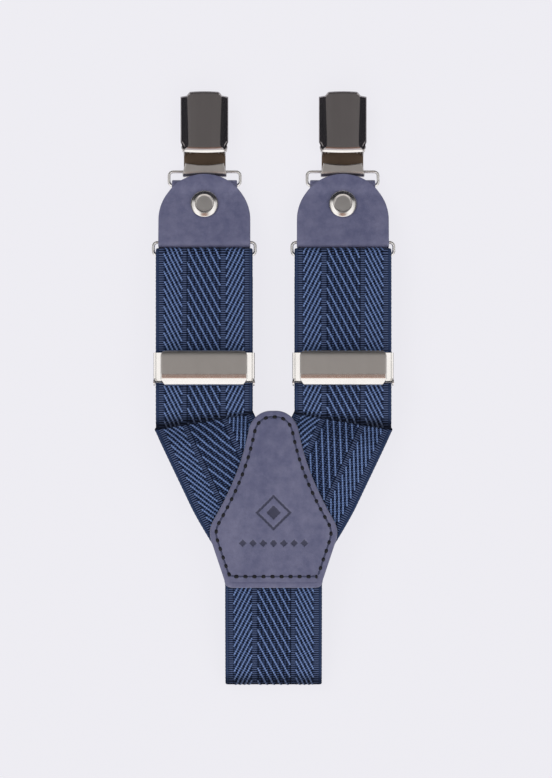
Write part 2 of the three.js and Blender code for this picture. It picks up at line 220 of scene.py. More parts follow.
def painted_fold_shade(shader, colour):
    """Painted shade: darker towards the fold of each front strap, most at its outer corner, and towards the
    tail's fold.
    """
    x, y, _ = shader.axes(shader.place())
    x = shader.math("DIVIDE", shader.math("ABSOLUTE", x), MM)
    y = shader.math("DIVIDE", y, MM)
    slope = (FOLD_OUTER[1] - FOLD_INNER[1]) / (abs(FOLD_OUTER[0]) - abs(FOLD_INNER[0]))
    line = shader.math("MULTIPLY_ADD", x, slope, FOLD_INNER[1] - slope * abs(FOLD_INNER[0]))
    above = shader.math("SUBTRACT", y, line)
    outer = shader.step(x, abs(FOLD_INNER[0]), abs(FOLD_OUTER[0]))
    reach = shader.math("MULTIPLY_ADD", outer, FOLD_SHADE_SPREAD, FOLD_SHADE_REACH)
    near = shader.step(shader.math("DIVIDE", above, reach), 1.0, 0.1)
    near = shader.math("MULTIPLY", near, shader.step(above, -0.5, 0.0))
    near = shader.math("MULTIPLY", near, shader.math("MULTIPLY_ADD", outer, 0.25, 0.65))
    tail = shader.math("MULTIPLY", shader.step(y, TAIL_SHADE_Y, TAIL_FOLD_Y), TAIL_SHADE_SHARE)
    return shader.mix(shader.math("MAXIMUM", near, tail), colour, FOLD_SHADE_DARK)


# Across the webbing, in mm from its left edge: plain selvedge, ladder, lines, ladder, wide lines,
# ladder, lines, ladder, plain selvedge
LADDERS = ((1.2, 2.8), (9.8, 11.1), (23.7, 25.1), (32.1, 33.6))
LINES = ((2.8, 9.8, 27.0, 3.16, 1), (11.1, 23.7, 27.5, 4.76, 1), (25.1, 32.1, 27.0, 3.16, -1))
WEFT_PITCH = 0.80
WARP_PITCH = 1.30


def webbing_material():
    shader = Shader("navy_webbing_weave")
    across, along, flat = shader.uv()
    weft = wave(shader, along, WEFT_PITCH)
    warp = wave(shader, across, WARP_PITCH)
    checker = shader.math("MULTIPLY", weft, shader.math("MULTIPLY_ADD", warp, 0.45, 0.6))
    uneven = shader.noise(flat, 1.9, 4.0, 0.6)
    patchy = shader.noise(shader.place(), 70.0, 2.0)
    ground = shader.mix(shader.step(checker, 0.40, 0.95), (0.0008, 0.0016, 0.006), (0.078, 0.125, 0.285))
    ladder = 0.0
    for low, high in LADDERS:
        band = between(shader, across, low, high)
        ladder = shader.math("ADD", ladder, band)
    rungs = shader.mix(shader.step(weft, 0.3, 0.8), (0.002, 0.005, 0.020), (0.115, 0.160, 0.310))
    colour = shader.mix(shader.math("MULTIPLY", ladder, 0.9), ground, rungs)
    inside = between(shader, across, 1.2, 33.8)
    selvedge = shader.mix(shader.math("MULTIPLY", weft, warp), (0.022, 0.040, 0.100), (0.062, 0.090, 0.180))
    colour = shader.mix(inside, selvedge, colour)
    colour = shader.mix(shader.remap(uneven, 0.0, 0.35), colour, (0.010, 0.018, 0.045))
    colour = shader.mix(shader.remap(patchy, 0.0, 0.08), colour, (0.045, 0.065, 0.135))
    height = shader.math("ADD", checker, shader.math("MULTIPLY", uneven, 0.3))
    # painted shade towards the folds of the front straps and the tail
    colour = painted_fold_shade(shader, colour)
    shader.set(Base_Color=colour, Roughness=0.86, Normal=shader.bump(height, 0.7, 0.00012))
    shader.set(Sheen_Weight=0.02, Sheen_Roughness=0.4, Specular_IOR_Level=0.08)
    return shader.material


def yarn_material():
    shader = Shader("raised_yarn")
    across, along, flat = shader.uv()
    plies = wave(shader, along, WEFT_PITCH)
    uneven = shader.noise(flat, 2.6, 3.0, 0.6)
    colour = shader.mix(shader.step(plies, 0.15, 0.95), (0.232, 0.352, 0.670), (0.078, 0.130, 0.305))
    colour = shader.mix(shader.remap(uneven, 0.0, 0.4), colour, (0.050, 0.085, 0.210))
    # painted shade towards the folds of the front straps and the tail
    colour = painted_fold_shade(shader, colour)
    height = shader.math("ADD", plies, uneven)
    shader.set(Base_Color=colour, Roughness=0.6, Normal=shader.bump(height, 0.5, 0.00008))
    shader.set(Sheen_Weight=0.1, Sheen_Roughness=0.4, Specular_IOR_Level=0.35)
    return shader.material


def leather_material(name, dark, light):
    shader = Shader(name)
    place = shader.place()
    pores = shader.cells(place, 2600.0)
    creases = shader.noise(place, 900.0, 4.0, 0.65)
    cloud = shader.noise(place, 90.0, 3.0, 0.5, (1.0, 0.35, 1.0))
    mottle = shader.noise(place, 330.0, 3.0, 0.6)
    blend = shader.math("MULTIPLY_ADD", mottle, 0.7, shader.math("MULTIPLY", cloud, 0.6))
    tone = shader.mix(shader.step(blend, 0.25, 1.05), dark, light)
    tone = shader.mix(shader.remap(creases, 0.0, 0.30), tone, (0.040, 0.043, 0.095))
    height = shader.math("ADD", pores, shader.math("MULTIPLY", creases, 1.4))
    rough = shader.remap(creases, 0.38, 0.60)
    shader.set(Base_Color=tone, Roughness=rough, Normal=shader.bump(height, 0.35, 0.00008))
    shader.set(Sheen_Weight=0.05, Specular_IOR_Level=0.45)
    return shader.material


def thread_material(name, dark, light):
    shader = Shader(name)
    place = shader.place()
    twist = shader.noise(place, 2500.0, 2.0, 0.5, (1.0, 0.35, 1.0))
    colour = shader.mix(twist, dark, light)
    shader.set(Base_Color=colour, Roughness=0.7, Normal=shader.bump(twist, 0.5, 0.00008))
    return shader.material


def metal_material(name, light, dark, rough, scratches=0.10, metallic=1.0):
    """Plated metal: brushed a little, with faint marks and duller patches."""
    shader = Shader(name)
    place = shader.place()
    brushed = shader.noise(place, 700.0, 4.0, 0.6, (1.0, 0.04, 1.0))
    stains = shader.noise(place, 120.0, 3.0, 0.55)
    colour = shader.mix(shader.remap(stains, 0.0, 1.0), light, dark)
    worn = shader.math("MULTIPLY_ADD", brushed, scratches, rough)
    worn = shader.math("MULTIPLY_ADD", stains, 0.05, worn)
    shader.set(Base_Color=colour, Metallic=metallic, Roughness=worn)
    shader.set(Normal=shader.bump(brushed, 0.05, 0.00003))
    return shader.material


def rubber_material():
    shader = Shader("black_grip_rubber")
    speckle = shader.noise(shader.place(), 3000.0, 2.0)
    colour = shader.mix(speckle, (0.014, 0.014, 0.016), (0.032, 0.032, 0.036))
    shader.set(Base_Color=colour, Roughness=0.75, Normal=shader.bump(speckle, 0.4, 0.00005))
    return shader.material


WEBBING, YARN = webbing_material(), yarn_material()
LEATHER = leather_material("navy_leather_grain", (0.092, 0.101, 0.204), (0.208, 0.211, 0.336))
# Darker leather for the pressed emblem's recess: painted shade
EMBLEM_SHADE = leather_material("emblem_recess_painted_shade", (0.030, 0.033, 0.070), (0.052, 0.055, 0.100))
# Lighter leather for the patch's rounded rim: a painted highlight
RIM_HIGHLIGHT = leather_material("leather_rim_painted_highlight", (0.200, 0.205, 0.290), (0.330, 0.330, 0.430))
THREAD = thread_material("dark_stitching_thread", (0.026, 0.030, 0.072), (0.072, 0.080, 0.155))
# Near-black capsules for the needle holes: painted shade in each hole
HOLE_SHADE = thread_material("needle_hole_painted_shade", (0.001, 0.001, 0.003), (0.006, 0.007, 0.014))
NICKEL = metal_material("bright_nickel_plate", (0.86, 0.84, 0.82), (0.74, 0.72, 0.70), 0.14)
WIRE = metal_material("bright_wire", (0.98, 0.96, 0.94), (0.90, 0.88, 0.86), 0.22)
SATIN = metal_material("satin_nickel_plate", (0.60, 0.575, 0.555), (0.50, 0.475, 0.455), 0.30)
DISH = metal_material("satin_rivet_dish", (0.82, 0.79, 0.77), (0.72, 0.69, 0.67), 0.30)
DARK = metal_material("dark_nickel_plate", (0.45, 0.42, 0.425), (0.36, 0.335, 0.34), 0.12, 0.08)
# Dark brown plate inside the clip, under the cover: painted shade and painted reflection
UNDER_COVER_SHADE = metal_material("inner_plate_painted_shade", (0.17, 0.115, 0.075), (0.08, 0.055, 0.036), 0.50, metallic=0.45)
RUBBER = rubber_material()


# ---------------------------------------------------------------- meshes

WELD_DISTANCE = 0.0005


def mesh_object(name, points, faces, material, uv=None, smooth=True):
    """A named object from points in millimetres. uv has one pair for each point."""
    mesh = bpy.data.meshes.new(name)
    mesh.from_pydata((np.asarray(points, float) * MM).tolist(), [], [tuple(map(int, f)) for f in faces])
    if uv is not None:
        layer = mesh.uv_layers.new(name="weave")
        corners = np.empty(len(mesh.loops), np.int32)
        mesh.loops.foreach_get("vertex_index", corners)
        layer.data.foreach_set("uv", np.asarray(uv, np.float32)[corners].ravel())
    mesh.polygons.foreach_set("use_smooth", [smooth] * len(mesh.polygons))
    mesh.materials.append(material)
    obj = bpy.data.objects.new(name, mesh)
    bpy.context.scene.collection.objects.link(obj)
    return obj


def edited(obj, change):
    """The object, after change has worked on its mesh as a bmesh."""
    work = bmesh.new()
    work.from_mesh(obj.data)
    change(work)
    work.to_mesh(obj.data)
    work.free()
    return obj


def fix_normals(obj):
    return edited(obj, lambda work: bmesh.ops.recalc_face_normals(work, faces=work.faces))


def weld(obj):
    return edited(obj, lambda work: bmesh.ops.remove_doubles(work, verts=work.verts, dist=WELD_DISTANCE * MM))


def unit(ways):
    return ways / np.maximum(np.linalg.norm(ways, axis=-1, keepdims=True), 1e-9)


def lengths_at(line):
    """The length from the start of a line to each of its points."""
    return np.r_[0.0, np.cumsum(np.linalg.norm(np.diff(line, axis=0), axis=1))]


def on_line(line, at, where):
    """Points of a line in a plane, at lengths along it."""
    return np.stack([np.interp(where, at, line[:, k]) for k in (0, 1)], -1)


def paint_faces(obj, material, chosen):
    """Gives a second finish to the faces for which chosen(face) is true."""
    obj.data.materials.append(material)
    for face in obj.data.polygons:
        if chosen(face):
            face.material_index = 1


def grid_faces(rows, columns, around=False, start=0):
    """Quads of a grid of points, row after row. around closes each row on itself."""
    span = columns if around else columns - 1
    out = []
    for row in range(rows - 1):
        for column in range(span):
            nxt = (column + 1) % columns
            a, b = start + row * columns, start + (row + 1) * columns
            out.append((a + column, a + nxt, b + nxt, b + column))
    return out


def end_faces(rows, columns):
    """The two closing faces of a grid whose rows are closed."""
    return [tuple(range(columns)), tuple(reversed(range((rows - 1) * columns, rows * columns)))]


def round_angles(count):
    return np.linspace(0, 2 * math.pi, count, endpoint=False)


def turn(centre, radius, first, last, steps=14):
    """Points of an arc, by angle in degrees."""
    angles = np.radians(np.linspace(first, last, steps))
    return [[centre[0] + radius * math.cos(a), centre[1] + radius * math.sin(a)] for a in angles]


def softened(points):
    """A polyline with its corners cut back twice, its ends kept."""
    points = np.asarray(points, float)
    for _ in range(2):
        near = points[:-1] * 0.75 + points[1:] * 0.25
        far = points[:-1] * 0.25 + points[1:] * 0.75
        inner = np.stack([near, far], 1).reshape(-1, points.shape[1])
        points = np.vstack([points[:1], inner[1:-1], points[-1:]])
    return points


class Path:
    """A line in the (y, z) plane, read by length. Its normal is to the left of the way it runs."""

    def __init__(self, points):
        points = np.asarray(points, float)
        keep = np.r_[True, np.linalg.norm(np.diff(points, axis=0), axis=1) > 1e-4]
        self.points = points[keep]
        self.at = lengths_at(self.points)
        self.length = float(self.at[-1])

    def place(self, s):
        return on_line(self.points, self.at, np.asarray(s, float))

    def normal(self, s, reach=0.15):
        s = np.asarray(s, float)
        low = np.clip(s - reach, 0, self.length)
        high = np.clip(s + reach, 0, self.length)
        way = unit(self.place(high) - self.place(low))
        return np.stack([-way[..., 1], way[..., 0]], -1)


# ---------------------------------------------------------------- webbing

class Web:
    """Webbing as a surface: point(u, s, h) with u from its left edge, s along it and h above its face."""

    def __init__(self, point, flipped=False, sense=1):
        self.point = point
        self.flipped = flipped
        self.sense = -sense if flipped else sense

    def pattern(self, u, s):
        """Where a place on the surface falls in the woven pattern."""
        return (WEB_WIDTH - u if self.flipped else u), self.sense * s

    def surface(self, u, p):
        """The place on the surface of a point of the pattern."""
        return (WEB_WIDTH - u if self.flipped else u), p * self.sense


def plane_web(path, x_centre, flipped=False, sense=1, turned=1):
    """Webbing along a path in the (y, z) plane, at one x. turned -1 puts its face on the other side."""
    def point(u, s, h):
        centre, normal = path.place(s), path.normal(s) * turned
        rise = np.asarray(WEB_T / 2 + h)[..., None] * normal
        x = x_centre - WEB_WIDTH / 2 + u
        return np.stack([x, centre[..., 0] + rise[..., 0], centre[..., 1] + rise[..., 1]], -1)
    return Web(point, flipped, sense)


EDGE_STEPS = ((0.0, -0.75), (0.05, -0.45), (0.22, -0.2), (0.5, -0.07), (0.9, 0.0))
ACROSS_STEP, ALONG_STEP = 0.7, 0.6
SCALLOP, SCALLOP_PITCH = 0.05, 1.06


def web_section():
    """Heights round one section of the webbing, from its middle edge over the face and back under."""
    left = list(EDGE_STEPS)
    edge = EDGE_STEPS[-1][0]
    inner = np.arange(edge + ACROSS_STEP, WEB_WIDTH - edge - 0.3, ACROSS_STEP)
    face = left + [(u, 0.0) for u in inner] + [(WEB_WIDTH - u, h) for u, h in reversed(left)]
    under = [(u, -WEB_T - h) for u, h in reversed(face[1:-1])]
    return np.array(face + under)


def line_of(value):
    """A start or end line across the webbing: a length, or a function of u."""
    return value if callable(value) else (lambda u: np.full(np.shape(u), float(value)))


def web_mesh(name, web, s_range, caps=(True, True)):
    """The body of the webbing between two lines, its edges a little scalloped by the weft."""
    section = web_section()
    first, last = (line_of(value)(section[:, 0]) for value in s_range)
    rows = max(2, int(round(float(np.mean(last - first)) / ALONG_STEP)) + 1)
    share = np.linspace(0, 1, rows)[:, None]
    length = first[None, :] * (1 - share) + last[None, :] * share
    u = np.broadcast_to(section[:, 0], length.shape)
    h = np.broadcast_to(section[:, 1], u.shape)
    edge = np.exp(-np.minimum(u, WEB_WIDTH - u) / 0.3)
    inward = np.where(u < WEB_WIDTH / 2, 1.0, -1.0) * edge
    wobble = SCALLOP * (1 + np.sin(length * 2 * math.pi / SCALLOP_PITCH))
    points = web.point(u + inward * wobble, length, h)
    columns = len(section)
    faces = grid_faces(rows, columns, around=True)
    faces += [face for face, shown in zip(end_faces(rows, columns), caps) if shown]
    pu, ps = web.pattern(u, length)
    obj = mesh_object(name, points.reshape(-1, 3), faces, WEBBING, np.stack([pu, ps], -1).reshape(-1, 2))
    return fix_normals(obj)


YARN_STEP = 0.62


def yarn_runs(web, s_range, shown=None):
    """The raised yarns as (u, s) lines, cut to the webbing's ends and to where shown(points) is true."""
    runs = []
    first, last = (line_of(value) for value in s_range)
    edges = np.array([0.0, WEB_WIDTH])
    for low, high, angle, pitch, slope in LINES:
        rise = (high - low) / math.tan(math.radians(angle))
        ends = web.pattern(0.0, np.r_[first(edges), last(edges)])[1]
        p_low, p_high = ends.min(), ends.max()
        for number in range(int((p_low - rise) // pitch) - 1, int((p_high + rise) // pitch) + 2):
            count = int(rise / YARN_STEP) + 1
            t = np.linspace(0.03, 0.97, count)
            u = low + (high - low) * t
            p = number * pitch + slope * rise * t
            u, s = web.surface(u, p)
            keep = (s >= first(u)) & (s <= last(u))
            if shown is not None and keep.any():
                keep &= shown(web.point(u, s, np.zeros(len(u))))
            if keep.sum() > 2:
                runs.append((u[keep], s[keep], keep[0], keep[-1]))
    return runs


YARN_SECTION = ((-0.5, -0.06), (-0.30, 0.75), (0.0, 1.0), (0.30, 0.75), (0.5, -0.06))
YARN_WIDTH, YARN_HEIGHT = 0.60, 0.19
SEAM_OVERLAP = 0.62
SHOULDER_LENGTH, MIDDLE_GAP = 62.0, 0.15
LOOP_YARNS, REAR_YARNS = 32.0, (11.0, 56.0)


def yarn_mesh(name, web, s_range, shown=None):
    """The raised diagonal yarns on the webbing's face."""
    points, faces, uv = [], [], []
    section = np.array(YARN_SECTION)
    for u, s, starts, ends in yarn_runs(web, s_range, shown):
        way = unit(np.array([u[-1] - u[0], s[-1] - s[0]]))
        sink = np.ones(len(u))
        if starts:
            sink[:2] = 0.0, 0.8
        if ends:
            sink[-2:] = 0.8, 0.0
        uu = u[:, None] - way[1] * section[None, :, 0] * YARN_WIDTH
        ss = s[:, None] + way[0] * section[None, :, 0] * YARN_WIDTH
        hh = section[None, :, 1] * YARN_HEIGHT * sink[:, None] - 0.02 * (1 - sink[:, None])
        start = sum(len(p) for p in points)
        points.append(web.point(uu, ss, hh).reshape(-1, 3))
        faces += grid_faces(len(u), len(section), start=start)
        pu, ps = web.pattern(uu, ss)
        uv.append(np.stack([pu, ps], -1).reshape(-1, 2))
    return fix_normals(mesh_object(name, np.vstack(points), faces, YARN, np.vstack(uv)))


def fold_y(x):
    """The fold line's y at an x on either side."""
    share = (np.abs(x) - abs(FOLD_INNER[0])) / (abs(FOLD_OUTER[0]) - abs(FOLD_INNER[0]))
    return FOLD_INNER[1] + (FOLD_OUTER[1] - FOLD_INNER[1]) * share


FRONT_BAR_Y, FRONT_BAR_Z = (JOINTS["left_strap_ring_swing"]["pos_m"][k] / MM for k in (1, 2))
REAR_BAR_Y, REAR_BAR_Z = (JOINTS["rear_strap_ring_swing"]["pos_m"][k] / MM for k in (1, 2))
FRONT_START = -30.0
REAR_LOOP_HALF = 16.25
CURL_END = math.radians(112)
DROOP, DROOP_LENGTH = 1.3, 6.0


def front_web(sign):
    """From the fold up the front, round the strap ring's bar and back down under it."""
    path = Path([[FRONT_START, TOP_WEB_Z], [30, TOP_WEB_Z], [42, TOP_WEB_Z],
                 *turn((FRONT_BAR_Y, FRONT_BAR_Z), WEB_LOOP_R, 90, -90),
                 *softened([[44.5, 7.6], [41.5, 8.6], [38, UNDER_WEB_Z], [30, UNDER_WEB_Z]])[1:],
                 [8.4, UNDER_WEB_Z]])
    flat = plane_web(path, sign * STRAP_X, flipped=sign > 0, sense=-1)

    def point(u, s, h):
        out = flat.point(u, s, h)
        x = out[..., 0]
        centre_y = fold_y(x) + FOLD_R + WEB_T / 2
        past = centre_y - (FRONT_START + s)
        angle = np.clip(past / FOLD_R, 0, math.pi)
        radius = FOLD_R + WEB_T / 2 + h
        curled = np.stack([x, centre_y - radius * np.sin(angle),
                           TOP_WEB_Z - FOLD_R + radius * np.cos(angle)], -1)
        out = np.where((angle > 0)[..., None], curled, out)
        out[..., 2] -= DROOP * np.clip(1 + past / DROOP_LENGTH, 0, 1) ** 2
        return out

    def start(u):
        x = sign * STRAP_X - WEB_WIDTH / 2 + np.asarray(u)
        return fold_y(x) + FOLD_R + WEB_T / 2 - CURL_END * FOLD_R - FRONT_START

    return Web(point, flipped=sign > 0, sense=-1), start, path.length


SHOULDER_SINK, SHOULDER_RISE = 3.0, 8.0
TAPER, TAPER_START, TAPER_END = 2.9, 30.0, 58.0


def shoulder_web(sign):
    """From under the fold, inwards and down to the yoke."""
    way = np.array([-sign * math.sin(SHOULDER_ANGLE), -math.cos(SHOULDER_ANGLE)])
    side = np.array([math.cos(SHOULDER_ANGLE), -sign * math.sin(SHOULDER_ANGLE)])
    middle = np.array([sign * -SHOULDER_POINT[0], SHOULDER_POINT[1]])

    def point(u, s, h):
        across = np.asarray(u) - WEB_WIDTH / 2
        outer = np.clip(sign * across / (WEB_WIDTH / 2), 0, 1)
        taper = TAPER * np.clip((np.asarray(s) - TAPER_START) / (TAPER_END - TAPER_START), 0, 1) ** 1.5
        across = across - sign * outer * taper
        flat = middle + s[..., None] * way + across[..., None] * side
        below = fold_y(flat[..., 0]) - flat[..., 1]
        share = np.clip(below / SHOULDER_RISE, 0, 1)
        sink = SHOULDER_SINK * (1 - share * share * (3 - 2 * share))
        slope = np.where(share > 0, SHOULDER_SINK * 6 * share * (1 - share) / SHOULDER_RISE, 0.0)
        up = 1 / np.sqrt(1 + slope * slope)
        rise = WEB_T / 2 + h
        return np.stack([flat[..., 0], flat[..., 1] + rise * slope * up,
                         TOP_WEB_Z - sink + rise * up], -1)

    def start(u, under=3.0):
        offset = np.asarray(u)[..., None] - WEB_WIDTH / 2
        edge = middle + offset * side
        tilt = (FOLD_OUTER[1] - FOLD_INNER[1]) / (FOLD_OUTER[0] - FOLD_INNER[0]) * -sign
        under = under * np.clip((abs(FOLD_OUTER[0]) - np.abs(edge[..., 0])) / 3.0, 0, 1)
        return (-under - fold_y(edge[..., 0]) + edge[..., 1]) / (tilt * way[0] - way[1])

    return Web(point, flipped=sign > 0, sense=1), start


def rear_web():
    """Out of the yoke's foot, folded under, and back round the rear strap ring."""
    path = Path([*softened([[-58, TOP_WEB_Z], [-76, TOP_WEB_Z], [-98, 6.4], [-104.8, 4.45]]),
                 *turn((-104.8, 2.7), WEB_LOOP_R, 90, 270)[1:],
                 [REAR_BAR_Y - 4, REAR_BAR_Z - WEB_LOOP_R],
                 *turn((REAR_BAR_Y, REAR_BAR_Z), WEB_LOOP_R, -90, 90),
                 *softened([[REAR_BAR_Y - 4, 4.3], [REAR_BAR_Y - 9, 2.9], [REAR_BAR_Y - 18, 2.75]])])
    flat = plane_web(path, 0.0, flipped=True, turned=-1)

    def point(u, s, h):
        out = flat.point(u, s, h)
        near = np.clip((out[..., 1] - REAR_BAR_Y + 12) / 8, 0, 1)
        near = np.where(np.asarray(s) > path.length / 2, near * near * (3 - 2 * near), 0.0)
        out[..., 0] *= 1 - near * (1 - REAR_LOOP_HALF / (WEB_WIDTH / 2))
        return out

    return Web(point, flipped=True), path.length


def spare_web(sign):
    """The spare length, in four layers under the front strap."""
    r = 0.85
    low, high = -8 + r + WEB_T / 2, 41 - r - WEB_T / 2
    levels = [WEB_T / 2 + 2 * r * layer for layer in range(4)]
    path = Path([[low, levels[0]], *turn((high, levels[0] + r), r, -90, 90),
                 *turn((low, levels[1] + r), r, 270, 90), *turn((high, levels[2] + r), r, -90, 90),
                 [low, levels[3]]])
    return plane_web(path, sign * STRAP_X, flipped=sign > 0, turned=-1), path.length


# ---------------------------------------------------------------- yoke patch

def bezier(points, steps):
    """A quadratic or cubic curve through its control points, without its last point."""
    t = np.linspace(0, 1, steps, endpoint=False)[:, None]
    points = [np.array(p, float) for p in points]
    degree = len(points) - 1
    return sum(math.comb(degree, k) * (1 - t) ** (degree - k) * t ** k * p for k, p in enumerate(points))


PATCH_FOOT, PATCH_FOOT_Y, PATCH_TOP_Y = 14.5, -71.7, -8.0
PATCH_ROWS, PATCH_COLUMNS = 230, 151


def patch_side():
    """The right side of the patch's outline, from foot to top, evenly spaced."""
    line = np.vstack([
        bezier([(PATCH_FOOT, PATCH_FOOT_Y), (17.6, PATCH_FOOT_Y), (17.7, -69)], 12),
        bezier([(17.7, -69), (22.3, -55.2)], 12),
        bezier([(22.3, -55.2), (23.7, -51.4), (21.9, -47.8)], 16),
        bezier([(21.9, -47.8), (15.9, -37.5), (11.4, -27.5), (9.0, -15.2)], 40),
        bezier([(9.0, -15.2), (8.2, -11.0), (5.0, PATCH_TOP_Y), (0.9, PATCH_TOP_Y)], 30),
        [(0.9, PATCH_TOP_Y)]])
    at = lengths_at(line)
    return on_line(line, at, np.linspace(0, at[-1], PATCH_ROWS))


def patch_half(y):
    side = patch_side()
    return np.interp(y, side[:, 1], side[:, 0])


# The rounded rim and the sewn groove: distance in from the edge, and depth
PATCH_RIM = ((0.0, 0.50), (0.04, 0.30), (0.16, 0.12), (0.40, 0.02), (0.8, -0.05), (1.3, -0.07),
             (1.65, -0.04), (1.85, 0.03), (2.1, 0.15), (2.3, 0.15), (2.55, 0.03), (2.9, -0.06))
STITCH_INSET, FOOT_STITCH_INSET = 2.2, 3.9
EMBLEM_Y, EMBLEM_R = -44.6, 5.9
BEADS_Y, BEAD_PITCH, BEAD_R = -55.6, 3.7, 1.35
EMBLEM_DEPTH = 0.30
CROWN, CROWN_REACH = 0.16, 2.2
FOOT_LIFT = 0.24
BACK_PATCH_DROP, STITCH_SINK = 4.3, 0.10


def fade(distance, soft):
    """1 well below zero and 0 well above it."""
    return 1 / (1 + np.exp(np.clip(distance / soft, -40, 40)))


def emblem_depth(x, y):
    """A plain lozenge in a ring and a row of small lozenges under it, pressed into the leather."""
    lozenge = np.abs(x) + np.abs(y - EMBLEM_Y)
    ring = fade(np.abs(lozenge - EMBLEM_R) - 0.55, 0.09)
    core = fade(lozenge - 2.6, 0.12)
    nearest = np.clip(np.round(x / BEAD_PITCH), -3, 3) * BEAD_PITCH
    bead = np.abs(x - nearest) + np.abs(y - BEADS_Y) - BEAD_R
    return EMBLEM_DEPTH * np.maximum.reduce([ring, core, fade(bead, 0.1)])


def patch_mesh(name, face_z, up, marked):
    """A leather patch with turned-down edges, a sewn groove and a slight crown. up -1 faces it down."""
    side = patch_side()
    columns = PATCH_COLUMNS
    left = side * [-1, 1]
    foot = np.stack([np.linspace(left[0, 0], side[0, 0], columns), np.full(columns, PATCH_FOOT_Y)], -1)
    top = np.stack([np.linspace(left[-1, 0], side[-1, 0], columns), np.full(columns, PATCH_TOP_Y)], -1)
    loop = np.vstack([foot[:-1], side[:-1], top[::-1][:-1], left[::-1][:-1]])
    way = unit(np.roll(loop, -1, axis=0) - np.roll(loop, 1, axis=0))
    inward = np.stack([-way[:, 1], way[:, 0]], -1)
    for _ in range(3):
        inward = (np.roll(inward, 1, axis=0) + inward + np.roll(inward, -1, axis=0)) / 3
    rings = [np.c_[loop, np.full(len(loop), -LEATHER_T)]]
    for inset, fall in PATCH_RIM:
        rings.append(np.c_[loop + inward * inset, np.full(len(loop), -fall)])
    points = np.vstack(rings)
    count = len(loop)
    faces = grid_faces(len(rings), count, around=True)
    inner = len(points) - count
    rows = len(side)
    index = np.empty((rows, columns), int)
    index[0] = inner + np.arange(columns)
    index[:, -1] = inner + (columns - 1) + np.arange(rows)
    index[-1] = inner + (columns - 1) + (rows - 1) + np.arange(columns)[::-1]
    index[:, 0] = inner + (np.arange(rows)[::-1] + 2 * (columns - 1) + (rows - 1)) % count
    share = np.linspace(0, 1, columns)[1:-1]
    added = []
    for row in range(1, rows - 1):
        a, b = points[index[row, 0]], points[index[row, -1]]
        index[row, 1:-1] = len(points) + len(added) * (columns - 2) + np.arange(columns - 2)
        line = a[None] * (1 - share[:, None]) + b[None] * share[:, None]
        room = np.abs(a[0]) - np.abs(line[:, 0])
        ends = np.minimum(row, rows - 1 - row) * 0.3
        line[:, 2] += CROWN * (1 - np.exp(-np.minimum(room, ends) / CROWN_REACH))
        if marked:
            line[:, 2] -= emblem_depth(line[:, 0], line[:, 1])
        added.append(line)
    points = np.vstack([points, *added])
    for row in range(rows - 1):
        for column in range(columns - 1):
            faces.append((index[row, column], index[row, column + 1],
                          index[row + 1, column + 1], index[row + 1, column]))
    faces.append(tuple(reversed(range(count))))
    points[:, 2] = face_z + up * points[:, 2]
    obj = mesh_object(name, points, faces, LEATHER)
    for material in (RIM_HIGHLIGHT, EMBLEM_SHADE):
        obj.data.materials.append(material)
    for number, face in enumerate(obj.data.polygons):
        # the rounded rim's faces take the painted highlight
        if number < 3 * count:
            face.material_index = 1
        # faces deep in the emblem take the painted shade
        elif marked and emblem_depth(face.center.x / MM, face.center.y / MM) > 0.5 * EMBLEM_DEPTH:
            face.material_index = 2
    return fix_normals(obj)


def capsule(start, end, radius, flat, sides=8):
    """Points and faces of a stitch, round in section and pinched at its ends."""
    start, end = np.asarray(start, float), np.asarray(end, float)
    way = (end - start) / np.linalg.norm(end - start)
    side = np.array([-way[1], way[0], 0.0])
    up = np.cross(way, side)
    rows = ((0.0, 0.25), (0.12, 0.75), (0.32, 1.0), (0.68, 1.0), (0.88, 0.75), (1.0, 0.25))
    points = []
    for t, size in rows:
        centre = start + (end - start) * t + np.array([0, 0, flat * (size - 1.0) * radius])
        points += [centre + radius * size * (math.cos(a) * side + 0.75 * math.sin(a) * up)
                   for a in round_angles(sides)]
    return points, grid_faces(len(rows), sides, around=True) + end_faces(len(rows), sides)


def stitches(name, line, z, up=1, pitch=3.2, length=2.5, radius=0.33, shift=0.0, material=THREAD):
    """Stitches along a closed or open line in the (x, y) plane. shift moves each one along it."""
    line = np.asarray(line, float)
    at = lengths_at(line)
    number = int(at[-1] // pitch)
    gap = at[-1] / number
    points, faces = [], []
    for k in range(number):
        ends = np.array([k * gap + (gap - length) / 2, k * gap + (gap + length) / 2]) + shift
        spots = on_line(line, at, ends)
        lift = [z + up * FOOT_LIFT * (y < PATCH_FOOT_Y + FOOT_STITCH_INSET + 0.5) for y in spots[:, 1]]
        more, quads = capsule([*spots[0], lift[0]], [*spots[1], lift[1]], radius, up)
        faces += [tuple(len(points) + i for i in quad) for quad in quads]
        points += more
    return fix_normals(mesh_object(name, points, faces, material))


def patch_stitch_line():
    side = patch_side()
    line = np.vstack([side, (side * [-1, 1])[::-1], side[:1]])
    way = unit(np.gradient(line, axis=0))
    inward = np.stack([-way[:, 1], way[:, 0]], -1)
    out = line + inward * STITCH_INSET
    low, high = PATCH_FOOT_Y + FOOT_STITCH_INSET, PATCH_TOP_Y - STITCH_INSET
    keep = (out[:, 1] >= low - 0.01) & (out[:, 1] <= high + 0.01)
    out = out[keep]
    return np.vstack([out, out[:1]])


# ---------------------------------------------------------------- putting the pieces in place

def finish_piece(obj, body, slot, *nodes):
    """Ties a piece to its body and hides the CAD nodes it stands for. slot, its finish, is not used."""
    if body:
        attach(obj, body)
    if nodes:
        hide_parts(*nodes)


def cut_away(obj, point, direction):
    """Removes what lies past a plane and closes the cut."""
    def cut(work):
        everything = list(work.verts) + list(work.edges) + list(work.faces)
        result = bmesh.ops.bisect_plane(work, geom=everything, plane_co=Vector(point) * MM,
                                        plane_no=Vector(direction), clear_outer=True)
        edges = [e for e in result["geom_cut"] if isinstance(e, bmesh.types.BMEdge)]
        bmesh.ops.contextual_create(work, geom=edges)

    edited(obj, cut)


STRETCH_START, STRETCH_END, LOOP_PIECE_START = 3.0, 34.0, 38.0


def bend_to_end(obj):
    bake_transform(obj)


